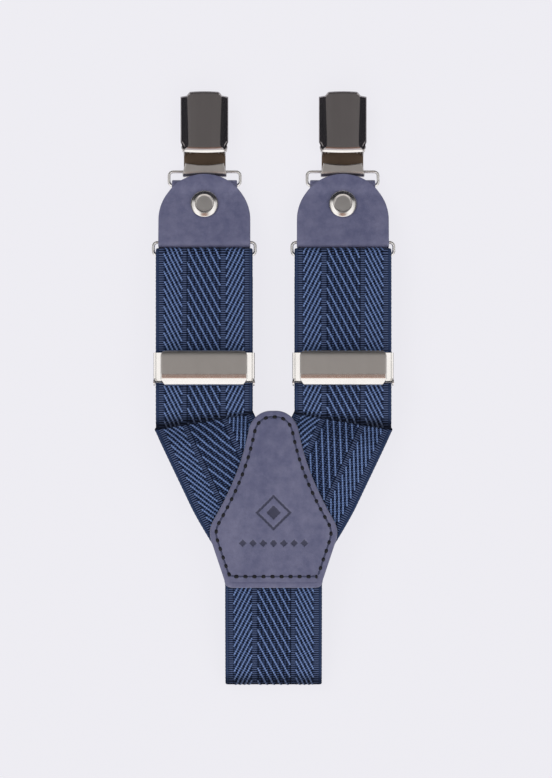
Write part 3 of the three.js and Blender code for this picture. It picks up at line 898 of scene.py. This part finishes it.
for side, sign in (("left", -1), ("right", 1)):
    web, start, length = front_web(sign)
    seam = LOOP_PIECE_START - FRONT_START
    body = web_mesh(f"{side}_front_webbing", web, (start, seam), caps=(True, False))
    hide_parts(f"{side}_front_strap")
    bend_to_end(body)
    bend_to_end(yarn_mesh(f"{side}_front_raised_yarn", web, (start, seam + SEAM_OVERLAP)))
    loop = web_mesh(f"{side}_loop_webbing", web, (seam, length), caps=(False, True))
    finish_piece(loop, f"{side}_strap_end", "navy_webbing", f"{side}_strap_loop")
    yarns = yarn_mesh(f"{side}_loop_raised_yarn", web, (seam, seam + LOOP_YARNS))
    finish_piece(yarns, f"{side}_strap_end", "navy_webbing")

    web, start = shoulder_web(sign)
    body = web_mesh(f"{side}_shoulder_webbing", web, (start, SHOULDER_LENGTH))
    cut_away(body, (sign * MIDDLE_GAP, 0, 0), (-sign, 0, 0))
    cut_away(body, (0, YOKE_END, 0), (0, -1, 0))
    finish_piece(body, "webbing", "navy_webbing", f"{side}_shoulder_strap")

    def outside_patch(points, sign=sign):
        x = points[:, 0] * sign
        return (x > 0.4) & (points[:, 1] > YOKE_END) & (x > patch_half(points[:, 1]) - 2.5)

    yarns = yarn_mesh(f"{side}_shoulder_raised_yarn", web, (start, SHOULDER_LENGTH), outside_patch)
    finish_piece(yarns, "webbing", "navy_webbing")

    web, length = spare_web(sign)
    spare = web_mesh(f"{side}_spare_webbing", web, (0.0, length))
    finish_piece(spare, "webbing", "navy_webbing", f"{side}_folded_strap")

web, length = rear_web()
finish_piece(web_mesh("rear_webbing", web, (0.0, length)), "webbing", "navy_webbing", "rear_strap")
finish_piece(yarn_mesh("rear_raised_yarn", web, REAR_YARNS), "webbing", "navy_webbing")

patch = patch_mesh("front_patch_leather", PATCH_TOP_Z, 1, True)
finish_piece(patch, "webbing", "navy_leather", "front_patch")
patch = patch_mesh("back_patch_leather", PATCH_TOP_Z - BACK_PATCH_DROP, -1, False)
finish_piece(patch, "webbing", "navy_leather", "back_patch")
stitch_line = patch_stitch_line()
for face, z, up in (("front", PATCH_TOP_Z - STITCH_SINK, 1),
                    ("back", PATCH_TOP_Z - BACK_PATCH_DROP + STITCH_SINK, -1)):
    sewn = stitches(f"{face}_patch_stitching", stitch_line, z, up)
    # each needle hole is a near-black capsule: painted shade in the hole
    hole_shades = stitches(f"{face}_patch_painted_needle_hole_shades", stitch_line, z - up * 0.02, up,
                     length=1.95, radius=0.66, shift=1.6, material=HOLE_SHADE)
    finish_piece(sewn, "webbing", "navy_webbing")
    finish_piece(hole_shades, "webbing", "navy_webbing")


# ---------------------------------------------------------------- rings, tabs and rivets

def wire_points(line, radius, sides, first, second):
    """Rings of points about a line, each ring in the plane of two unit directions."""
    rings = [line + radius * (math.cos(a) * first + math.sin(a) * second) for a in round_angles(sides)]
    return np.stack(rings, 1).reshape(-1, 3)


def wire_object(name, line, radius, material, sides=16):
    """A closed ring of round wire along a line that stays near one plane."""
    line = np.asarray(line, float)
    way = unit(np.roll(line, -1, axis=0) - np.roll(line, 1, axis=0))
    up = np.tile([0.0, 0.0, 1.0], (len(line), 1))
    up = unit(up - (up * way).sum(1, keepdims=True) * way)
    points = wire_points(line, radius, sides, np.cross(way, up), up)
    points = np.vstack([points, points[:sides]])
    obj = mesh_object(name, points, grid_faces(len(line) + 1, sides, around=True), material)
    return fix_normals(weld(obj))


def set_in_place(obj, matrix):
    """Moves a piece modelled at the origin to its place in the frame."""
    obj.data.transform(matrix)
    return fix_normals(obj)


def joint_point(name):
    return Vector(JOINTS[name]["pos_m"])


def end_frames(side):
    """Matrices of the tilted ring plane, from the strap ring's bar, and of the clip, from its ring's bar."""
    bar, ring_bar = joint_point(f"{side}_strap_ring_swing"), joint_point(f"{side}_clip_ring_swing")
    turned = Matrix.Rotation(math.pi, 4, "Y") if side == "rear" else Matrix.Identity(4)
    run = turned.inverted() @ (ring_bar - bar)
    tilt = math.atan2(run.z, run.y)
    plane = Matrix.Translation(bar) @ turned @ Matrix.Rotation(tilt, 4, "X")
    clip_bar = joint_point(f"{side}_clip_swing")
    return plane, Matrix.Translation(clip_bar) @ turned @ Matrix.Translation((0, 0, -CLIP_BAR_Z * MM))


def ring_line(half, reach):
    """The middle line of a ring's wire: a rounded rectangle in the ring plane, closely spaced."""
    r = RING_CORNER
    corners = ((half - r, r, -90), (half - r, reach - r, 0), (-half + r, reach - r, 90), (-half + r, r, 180))
    line = []
    for x, y, first in corners:
        line += turn((x, y), r, first, first + 90, 9)
    dense = []
    for a, b in zip(line, line[1:] + line[:1]):
        steps = max(1, int(math.dist(a, b) / WIRE_STEP))
        dense += [[a[0] + (b[0] - a[0]) * k / steps, a[1] + (b[1] - a[1]) * k / steps, 0.0]
                  for k in range(steps)]
    return dense


STRIP_STEP = 0.45


def strip_mesh(name, path, half_at, thickness, material, edge=0.28, lengths=None):
    """A round-edged strip of sheet along a path in the (y, z) plane. half_at(y, s) is its half width."""
    s = np.linspace(0, path.length, int(path.length / STRIP_STEP) + 2) if lengths is None else lengths
    rows = len(s)
    centre, normal = path.place(s), path.normal(s)
    half = np.array([half_at(y, at) for (y, _), at in zip(centre, s)])
    rim = ((0.0, -0.5), (0.02, -0.3), (0.10, -0.12), (0.25, -0.02), (edge + 0.3, 0.0))
    inner = np.linspace(-1, 1, 33)[1:-1]
    sections = []
    for row in range(rows):
        x = [-half[row] + i for i, _ in rim] + list(inner * (half[row] - rim[-1][0])) + \
            [half[row] - i for i, _ in reversed(rim)]
        lift = [thickness * (0.5 + h) for _, h in rim]
        face = lift + [thickness / 2] * len(inner) + lift[::-1]
        top = list(zip(x, face))
        under = [(a, -b) for a, b in reversed(top[1:-1])]
        section = np.array(top + under)
        base = centre[row]
        sections.append(np.stack([section[:, 0], base[0] + section[:, 1] * normal[row, 0],
                                  base[1] + section[:, 1] * normal[row, 1]], -1))
    columns = len(sections[0])
    faces = grid_faces(rows, columns, around=True) + end_faces(rows, columns)
    return fix_normals(mesh_object(name, np.vstack(sections), faces, material))


def lathe(name, profile, material, steps=48, y=0.0):
    """A piece turned about the Z axis through (0, y). The profile is (radius, z) from axis to axis."""
    points = [[r * math.cos(a), y + r * math.sin(a), z] for r, z in profile for a in round_angles(steps)]
    obj = mesh_object(name, points, grid_faces(len(profile), steps, around=True), material)
    return fix_normals(weld(obj))


RING_REACH = math.dist(JOINTS["left_tab_swing"]["pos_m"], JOINTS["left_strap_ring_swing"]["pos_m"]) / MM
TAB_TOP, TAB_BACK_HALF = 29.4, 11.8
TAB_FOOT_R = 1.6


def leather_tab(name, half):
    """One strip: down the front from its round top, round the strap ring, up the back, round the clip ring."""
    front = softened([[TAB_TOP, 2.9], [27.5, 3.0], [25.0, 2.85], [22.9, 1.75], [20.5, 1.65], [12, 1.65],
                      [RING_REACH + 1.2, 1.65]])
    path = Path([*front, *turn((RING_REACH, 0), TAB_FOOT_R, 90, 270, 22), [RIVET_Y, -1.3],
                 *turn((TAB_TOP_BAR, 0), TAB_LOOP_R, -90, 90, 22),
                 *softened([[24.6, 1.2], [23.2, 0.25], [20.5, 0.18], [13.5, 0.15]])[1:]])
    round_y = TAB_TOP - half
    front_length = Path([*front, [RING_REACH - TAB_LOOP_R, 0]]).length

    def half_at(y, s):
        above = min(max(y - round_y, 0.0), half)
        if s < front_length:
            return max(math.sqrt(max(half * half - above * above, 0.0)), 0.9)
        return half + (TAB_BACK_HALF - half) * min(above / 8, 1)

    tip = half * (1 - np.cos(np.linspace(0, math.pi / 2, 40)))
    lengths = np.r_[tip, np.arange(tip[-1] + STRIP_STEP, path.length, STRIP_STEP), path.length]
    return strip_mesh(name, path, half_at, LEATHER_T, LEATHER, lengths=lengths)


DISH_R = 3.5
RIVET_CAP = ((0, 2.45), (4.6, 2.45), (4.9, 2.56), (5.0, 2.72), (4.97, 2.86), (4.85, 2.96), (4.4, 3.15),
             (3.85, 3.39), (3.46, 3.55), (3.33, 3.54), (3.26, 3.40), (3.23, 3.08), (3.13, 3.0), (2.8, 2.99),
             (1.5, 3.03), (0, 3.05))
RIVET_POST = ((0, -2.85), (0.8, -2.85), (1.0, -2.95), (2.8, -2.98), (3.35, -2.85), (3.55, -2.6), (3.4, -2.3),
              (2.9, -2.2), (1.35, -2.15), (1.35, 2.4), (0, 2.4))


# ---------------------------------------------------------------- clips

def prism(name, outline, axis, low, high, material, bevel=0.12, angle=35):
    """An outline drawn out from low to high along x (axis 0) or y (axis 1), with its edges eased."""
    count = len(outline)
    points = [[*point[:axis], end, *point[axis:]] for end in (low, high) for point in outline]
    faces = [tuple(range(count)), tuple(range(2 * count - 1, count - 1, -1))]
    faces += [(k, (k + 1) % count, (k + 1) % count + count, k + count) for k in range(count)]
    return ease(fix_normals(mesh_object(name, points, faces, material, smooth=False)), bevel, angle)


def add_bevel(obj, width, angle):
    bevel = obj.modifiers.new("eased", "BEVEL")
    bevel.width, bevel.segments, bevel.limit_method = width * MM, 2, "ANGLE"
    bevel.angle_limit = math.radians(angle)
    return bevel


def ease(obj, width, angle):
    """Rounds an object's sharp edges and shades it smooth."""
    add_bevel(obj, width, angle).harden_normals = True
    obj.data.polygons.foreach_set("use_smooth", [True] * len(obj.data.polygons))
    return obj


def sharpen(obj, angle):
    """Keeps the shading apart across an object's creases."""
    def mark(work):
        for edge in work.edges:
            if edge.calc_face_angle(0.0) > math.radians(angle):
                edge.smooth = False

    edited(obj, mark)


PIN_Y, PIN_Z = 8.2, 3.7
COVER_TOP, BAND_SHARE = 8.2, 0.72
LUG_T, EAR_T = 0.7, 0.6


def clip_cover(name):
    """The domed cover: a flat band that flares to a rolled lip, with a sloping wing each side."""
    half_v = np.r_[np.linspace(0, BAND_SHARE, 25), np.linspace(BAND_SHARE, 1, 10)[1:]]
    v = np.r_[-half_v[:0:-1], half_v]
    columns, rows = len(v), 70
    t = np.linspace(0, 1, rows) ** 1.25
    grid_v, grid_t = np.meshgrid(v, t)
    y = COVER_START + (CLIP_LENGTH - COVER_START) * grid_t
    band = 5.75 + 0.45 * np.clip((y - 12) / 16, 0, 1) + 1.75 * np.clip((9.6 - y) / 3.1, 0, 1) ** 1.7
    outer = 8.62 - 0.75 * np.clip((8.6 - y) / 2.1, 0, 1)
    size = np.abs(grid_v)
    wing = (size - BAND_SHARE) / (1 - BAND_SHARE) * np.maximum(outer - band, 0.25)
    x = np.where(size < BAND_SHARE, size / BAND_SHARE * band, band + wing)
    z = COVER_TOP - (0.10 * (x / 6) ** 2 + 0.68 * np.maximum(x - band, 0))
    tip = CLIP_LENGTH - 0.30 * (x / 6) ** 2 - 1.25 * np.clip((x - 5.0) / 1.3, 0, 1) ** 1.6
    foot = COVER_START + 0.30 * (x / 7) ** 2 + 1.7 * np.clip((x - 7.2) / 0.9, 0, 1)
    y = foot + (tip - foot) * grid_t
    roll = np.clip(1 - (y - foot) / 2.4, 0, 1) * np.clip(1 - (x - band) / 0.6, 0, 1)
    z = z - 0.85 * roll ** 2
    z = z - 0.35 * np.clip(1 - (tip - y) / 0.8, 0, 1) ** 2
    points = np.stack([x * np.sign(grid_v), y, z], -1).reshape(-1, 3)
    obj = fix_normals(mesh_object(name, points, grid_faces(rows, columns), DARK))
    if np.mean([face.normal.z for face in obj.data.polygons]) < 0:
        obj.data.flip_normals()

    # The rolled lip is given bright nickel on the dark cover: a painted highlight along the lip
    def painted_lip_highlight(face):
        x = face.center.x / MM
        return abs(x) < 7.3 and face.center.y / MM < COVER_START + 0.30 * (x / 7) ** 2 + 0.75

    paint_faces(obj, NICKEL, painted_lip_highlight)
    sharpen(obj, 16)
    shell = obj.modifiers.new("sheet", "SOLIDIFY")
    shell.thickness, shell.offset = 0.7 * MM, -1
    shell.use_even_offset = False
    return obj


def rounded_lug(foot_low, foot_high, foot_z, radius):
    """An outline in (y, z): straight sides from a foot to a round about the pin."""
    first, last = (200, 340) if foot_z > PIN_Z else (160, 20)
    return [[foot_low, foot_z], *turn((PIN_Y, PIN_Z), radius, first, last), [foot_high, foot_z]]


def clip_base(name):
    """The back plate, turned round the ring's bar, its front lip cut in a hollow curve."""
    path = Path([[26.5, 0.4], [0, 0.4], *turn((0, CLIP_BAR_Z), 1.6, 270, 90, 20), [3.2, 3.6]])

    def half_at(y, s):
        if s < path.length - 8.0:
            return 7.6 - 0.5 * min(max((y - 25.3) / 1.2, 0), 1)
        return 7.95 - 1.0 * min(max((y + 0.6) / 3.8, 0), 1)

    obj = strip_mesh(name, path, half_at, 0.8, SATIN, edge=0.1)
    # the plate's upward faces inside the clip take the painted shade and reflection under the cover
    paint_faces(obj, UNDER_COVER_SHADE, lambda face: face.normal.z > 0.5 and face.center.z < 1.2 * MM)
    for vertex in obj.data.vertices:
        x, y, z = vertex.co / MM
        if z > 3.0 and y > 0.5 and abs(x) < 7.4:
            vertex.co.y -= MM * 0.95 * (1 - (x / 7.4) ** 2) * (y - 0.5) / 2.7
    return obj


def coil_object(name):
    """The torsion spring: close turns round the pin."""
    turns, radius, wire, sides = 9, 1.32, 0.3, 8
    angles = np.linspace(0, 2 * math.pi * turns, turns * 20)
    x = np.linspace(-3.1, 3.1, len(angles))
    line = np.stack([x, PIN_Y + radius * np.cos(angles), PIN_Z + radius * np.sin(angles)], -1)
    way = unit(np.gradient(line, axis=0))
    outward = unit((line - [0, PIN_Y, PIN_Z]) * [0, 1, 1])
    points = wire_points(line, wire, sides, outward, np.cross(way, outward))
    faces = grid_faces(len(line), sides, around=True) + end_faces(len(line), sides)
    return fix_normals(mesh_object(name, points, faces, NICKEL))


def pin_object(name, half, radius, head):
    """A pin along x, with domed heads."""
    profile = [(0, -half - 0.55), (head * 0.6, -half - 0.45), (head, -half - 0.2), (head, -half),
               (radius, -half + 0.02), (radius, half - 0.02), (head, half), (head, half + 0.2),
               (head * 0.6, half + 0.45), (0, half + 0.55)]
    obj = lathe(name, profile, NICKEL, steps=24)
    obj.data.transform(Matrix.Rotation(math.pi / 2, 4, "Y"))
    return obj


def fit_end(side):
    """Strap ring, tab, rivet, clip ring and clip of one side."""
    plane, at_clip = end_frames(side)
    low, high = box_mm(f"{side}_strap_ring")
    ring_half = (high[0] - low[0]) / 2 - WIRE_R
    low, high = box_mm(f"{side}_leather_tab")
    tab_half = (high[0] - low[0]) / 2
    at_ring = plane @ Matrix.Translation((0, TAB_TOP_BAR * MM, 0))

    def put(obj, matrix, body, slot, *nodes):
        set_in_place(obj, matrix)
        finish_piece(obj, f"{side}_{body}", slot, *[f"{side}_{node}" for node in nodes])

    ring = wire_object(f"{side}_strap_ring_wire", ring_line(ring_half, RING_REACH), WIRE_R, WIRE)
    put(ring, plane, "link", "bright_nickel", "strap_ring")
    ring = wire_object(f"{side}_clip_ring_wire", ring_line(*CLIP_RING), WIRE_R, WIRE)
    put(ring, at_ring, "clip_link", "bright_nickel", "clip_ring")
    put(leather_tab(f"{side}_tab_leather", tab_half), plane, "tab", "navy_leather", "leather_tab")
    cap = lathe(f"{side}_rivet_dished_cap", RIVET_CAP, NICKEL, y=RIVET_Y)
    paint_faces(cap, DISH, lambda face: math.hypot(face.center.x, face.center.y - RIVET_Y * MM) < DISH_R * MM)
    put(cap, plane, "tab", "bright_nickel", "rivet_cap")
    post = lathe(f"{side}_rivet_spread_post", RIVET_POST, NICKEL, y=RIVET_Y)
    put(post, plane, "tab", "bright_nickel", "rivet_post")

    put(clip_cover(f"{side}_clip_cover_sheet"), at_clip, "clip_lever", "dark_nickel", "clip_cover")
    for mark, lug_x, ear_x in (("a", -6.75, -7.6), ("b", 6.05, 7.0)):
        outline = rounded_lug(6.9, 10.6, 7.2, 1.7)
        lug = prism(f"{side}_clip_cover_lug_{mark}", outline, 0, lug_x, lug_x + LUG_T, SATIN)
        put(lug, at_clip, "clip_lever", "dark_nickel")
        outline = rounded_lug(5.6, 10.8, 0.5, 1.9)
        ear = prism(f"{side}_clip_base_ear_{mark}", outline, 0, ear_x, ear_x + EAR_T, SATIN)
        put(ear, at_clip, "clip", "bright_nickel")
    put(clip_base(f"{side}_clip_back_plate"), at_clip, "clip", "bright_nickel", "clip_base")
    put(coil_object(f"{side}_clip_torsion_spring"), at_clip, "clip", "bright_nickel", "clip_spring")
    pin = pin_object(f"{side}_clip_hinge_pin", 7.75, 0.75, 1.2)
    pin.data.transform(Matrix.Translation((0, PIN_Y * MM, PIN_Z * MM)))
    put(pin, at_clip, "clip", "bright_nickel", "clip_pin")
    for node, material in (("clip_jaw", SATIN), ("base_pad", RUBBER), ("jaw_pad", RUBBER)):
        paint_node(f"{side}_{node}", material, 0.12)


def paint_node(name, material, edge):
    """Gives a CAD node its finished material and eased edges."""
    obj = frame["nodes"][name]
    obj.data.materials.clear()
    obj.data.materials.append(material)
    add_bevel(obj, edge, 30)


# ---------------------------------------------------------------- sliders

SLIDER_LOW, SLIDER_HIGH = 0.9, 13.6
CURL_R, COVER_T, COVER_RISE = 0.85, 0.7, 1.66
COVER_CORNER, SLIDER_WALL = 1.8, 0.6


def fit_slider(side, sign):
    """The cover with its rolled edge, the pin, and the channel with its two bright rails."""
    pin_y, pin_z = (JOINTS[f"{side}_slider_lid_flip"]["pos_m"][k] / MM for k in (1, 2))
    cover_low, cover_high = box_mm(f"{side}_slider_cover")
    cover_half = (cover_high[0] - cover_low[0]) / 2
    top = pin_z + COVER_RISE
    curl = turn((pin_y, pin_z), CURL_R, 110, 300, 26)
    bevel_y = pin_y + 1.5
    bevel_z = curl[0][1] + (bevel_y - curl[0][0]) * math.tan(math.radians(20))
    path = Path([*softened([[SLIDER_HIGH - 0.22, top - 0.75], [SLIDER_HIGH - 0.6, top - 0.36],
                            [SLIDER_HIGH - 1.5, top - 0.07], [SLIDER_HIGH - 2.6, top], [bevel_y + 1.5, top]]),
                 [bevel_y + 0.05, bevel_z + 0.02], *curl])

    def half_at(y, s):
        corner = max(COVER_CORNER - s, 0)
        chamfer = min(max((s - path.length + 4.4) / 2.0, 0), 1)
        return cover_half - COVER_CORNER + math.sqrt(COVER_CORNER ** 2 - corner ** 2) - 1.2 * chamfer

    def put(obj, body, *nodes, y=0.0, z=0.0):
        set_in_place(obj, Matrix.Translation((sign * STRAP_X * MM, y * MM, z * MM)))
        finish_piece(obj, f"{side}_{body}", "bright_nickel", *[f"{side}_{node}" for node in nodes])

    lengths = np.r_[np.linspace(0, COVER_CORNER, 14), np.arange(2.2, path.length, 0.3), path.length]
    cover = strip_mesh(f"{side}_slider_lid_sheet", path, half_at, COVER_T, SATIN, edge=0.1, lengths=lengths)
    paint_faces(cover, NICKEL, lambda face: face.center.y / MM < bevel_y + 1.5)
    put(cover, "slider_lid", "slider_cover")

    low, high = box_mm(f"{side}_slider_frame")
    half = (high[0] - low[0]) / 2
    wall = SLIDER_WALL
    inside = cover_half - 0.4
    rail_z = TOP_WEB_Z + WEB_T / 2 + 0.4 + 1.2
    rail = [[half, rail_z - 0.65], [half - 0.2, rail_z - 0.45], [half - 0.75, rail_z - 0.30],
            [half - 0.8, rail_z - 0.42], [half - 0.95, rail_z - 0.38], [half - 1.0, rail_z - 0.24],
            [inside + 0.1, rail_z + 0.22], [inside, rail_z + 0.1], [inside, rail_z - 0.4],
            [half - wall, rail_z - 0.95], [half - wall, low[2] + 0.8]]
    outline = [[-half, low[2]], [half, low[2]], *rail, *[[-x, z] for x, z in reversed(rail)]]
    channel = prism(f"{side}_slider_channel", outline, 1, SLIDER_LOW + 1.3, SLIDER_HIGH - 0.7, NICKEL, 0.05, 20)
    put(channel, "slider", "slider_frame")
    for mark, x in (("a", -half), ("b", half - wall)):
        eye = turn((pin_y, pin_z), 1.35, 200, -20, 16)
        outline = [[pin_y - 1.25, rail_z - 1.6], *eye, [pin_y + 1.6, rail_z - 1.6]]
        put(prism(f"{side}_slider_cheek_{mark}", outline, 0, x, x + wall, NICKEL, bevel=0.1), "slider")
    pin = pin_object(f"{side}_slider_hinge_pin", half - 0.35, 0.42, 0.75)
    put(pin, "slider", "slider_pin", y=pin_y, z=pin_z)


for side in SIDES:
    fit_end(side)
for side, sign in (("left", -1), ("right", 1)):
    fit_slider(side, sign)


# ---------------------------------------------------------------- floor, light and camera

FLOOR_GLOW, SKY_POWER = 0.91, 0.8
FLOOR_R, FLOOR_DROP, FLOOR_CORNERS = 4000.0, 0.02, 64
# The camera's place in metres, and its sensor and lens in mm
VIEW_X, VIEW_Y, VIEW_HEIGHT = 0.00087, -0.00018, 1.2
SENSOR, LENS = 36.0, 154.2


def floor():
    """A wide pale floor that takes faint shadows."""
    shader = Shader("pale_floor")
    shader.set(Base_Color=(0.08, 0.08, 0.083), Roughness=0.9, Specular_IOR_Level=0.0)
    shader.set(Emission_Color=(0.863, 0.855, 0.905), Emission_Strength=FLOOR_GLOW)
    rim = [[FLOOR_R * math.cos(a), FLOOR_R * math.sin(a), -FLOOR_DROP] for a in round_angles(FLOOR_CORNERS)]
    obj = mesh_object("floor", rim, [tuple(range(FLOOR_CORNERS))], shader.material, smooth=False)


def sky():
    """Soft studio surroundings: grey overhead, white panels to the sides and the foot, dark beyond them."""
    world = bpy.data.worlds.new("studio")
    bpy.context.scene.world = world
    world.use_nodes = True
    writer = NodeWriter(world.node_tree)
    x, y, z = writer.axes(writer.nodes.new("ShaderNodeTexCoord").outputs["Generated"])
    aside = writer.math("ABSOLUTE", x)
    side_panels = writer.math("MULTIPLY", writer.step(aside, 0.16, 0.34), writer.step(aside, 0.80, 0.66))
    foot_panel = writer.math("MULTIPLY", writer.step(y, -0.42, -0.56), writer.step(z, 0.05, 0.3))
    side_panels = writer.math("MULTIPLY", side_panels, writer.step(y, 0.62, 0.42))
    white = writer.math("MAXIMUM", side_panels, foot_panel)
    warm = writer.math("MULTIPLY", writer.step(y, -0.20, -0.32), writer.step(z, 0.4, 0.7))
    above = writer.mix(writer.step(y, 0.15, 0.55), (0.26, 0.25, 0.245), (0.05, 0.048, 0.05))
    above = writer.mix(writer.step(z, 0.65, 0.3), above, (0.035, 0.036, 0.045))
    above = writer.mix(warm, above, (0.50, 0.25, 0.16))
    colour = writer.mix(white, above, (1.5, 1.48, 1.46))
    colour = writer.mix(writer.step(z, 0.12, 0.0), colour, (0.62, 0.62, 0.65))
    background = writer.nodes.new("ShaderNodeBackground")
    background.inputs[1].default_value = SKY_POWER
    output = writer.nodes.new("ShaderNodeOutputWorld")
    writer.links.new(colour, background.inputs[0])
    writer.links.new(background.outputs[0], output.inputs[0])


def area_light(name, place, size, power):
    light = bpy.data.lights.new(name, "AREA")
    light.shape = "RECTANGLE"
    light.size, light.size_y = size
    light.energy = power
    obj = bpy.data.objects.new(name, light)
    obj.location = place
    obj.rotation_euler = (-Vector(place)).to_track_quat("-Z", "Y").to_euler()
    obj.visible_glossy = False
    bpy.context.scene.collection.objects.link(obj)


floor()
sky()
area_light("key_light", (-0.9, 1.1, 1.3), (1.2, 1.0), 8.5)
area_light("fill_light", (1.3, -0.2, 1.0), (1.4, 1.4), 2.5)
area_light("low_light", (0.1, -1.4, 0.7), (1.6, 0.8), 0.6)

camera_data = bpy.data.cameras.new("camera")
camera_data.lens, camera_data.sensor_width = LENS, SENSOR
camera_data.clip_start, camera_data.clip_end = 0.01, 100.0
camera = bpy.data.objects.new("camera", camera_data)
camera.location = (VIEW_X, VIEW_Y, TOP_WEB_Z * MM + VIEW_HEIGHT)
bpy.context.scene.collection.objects.link(camera)
bpy.context.scene.camera = camera
bpy.context.scene.view_settings.view_transform = "Standard"
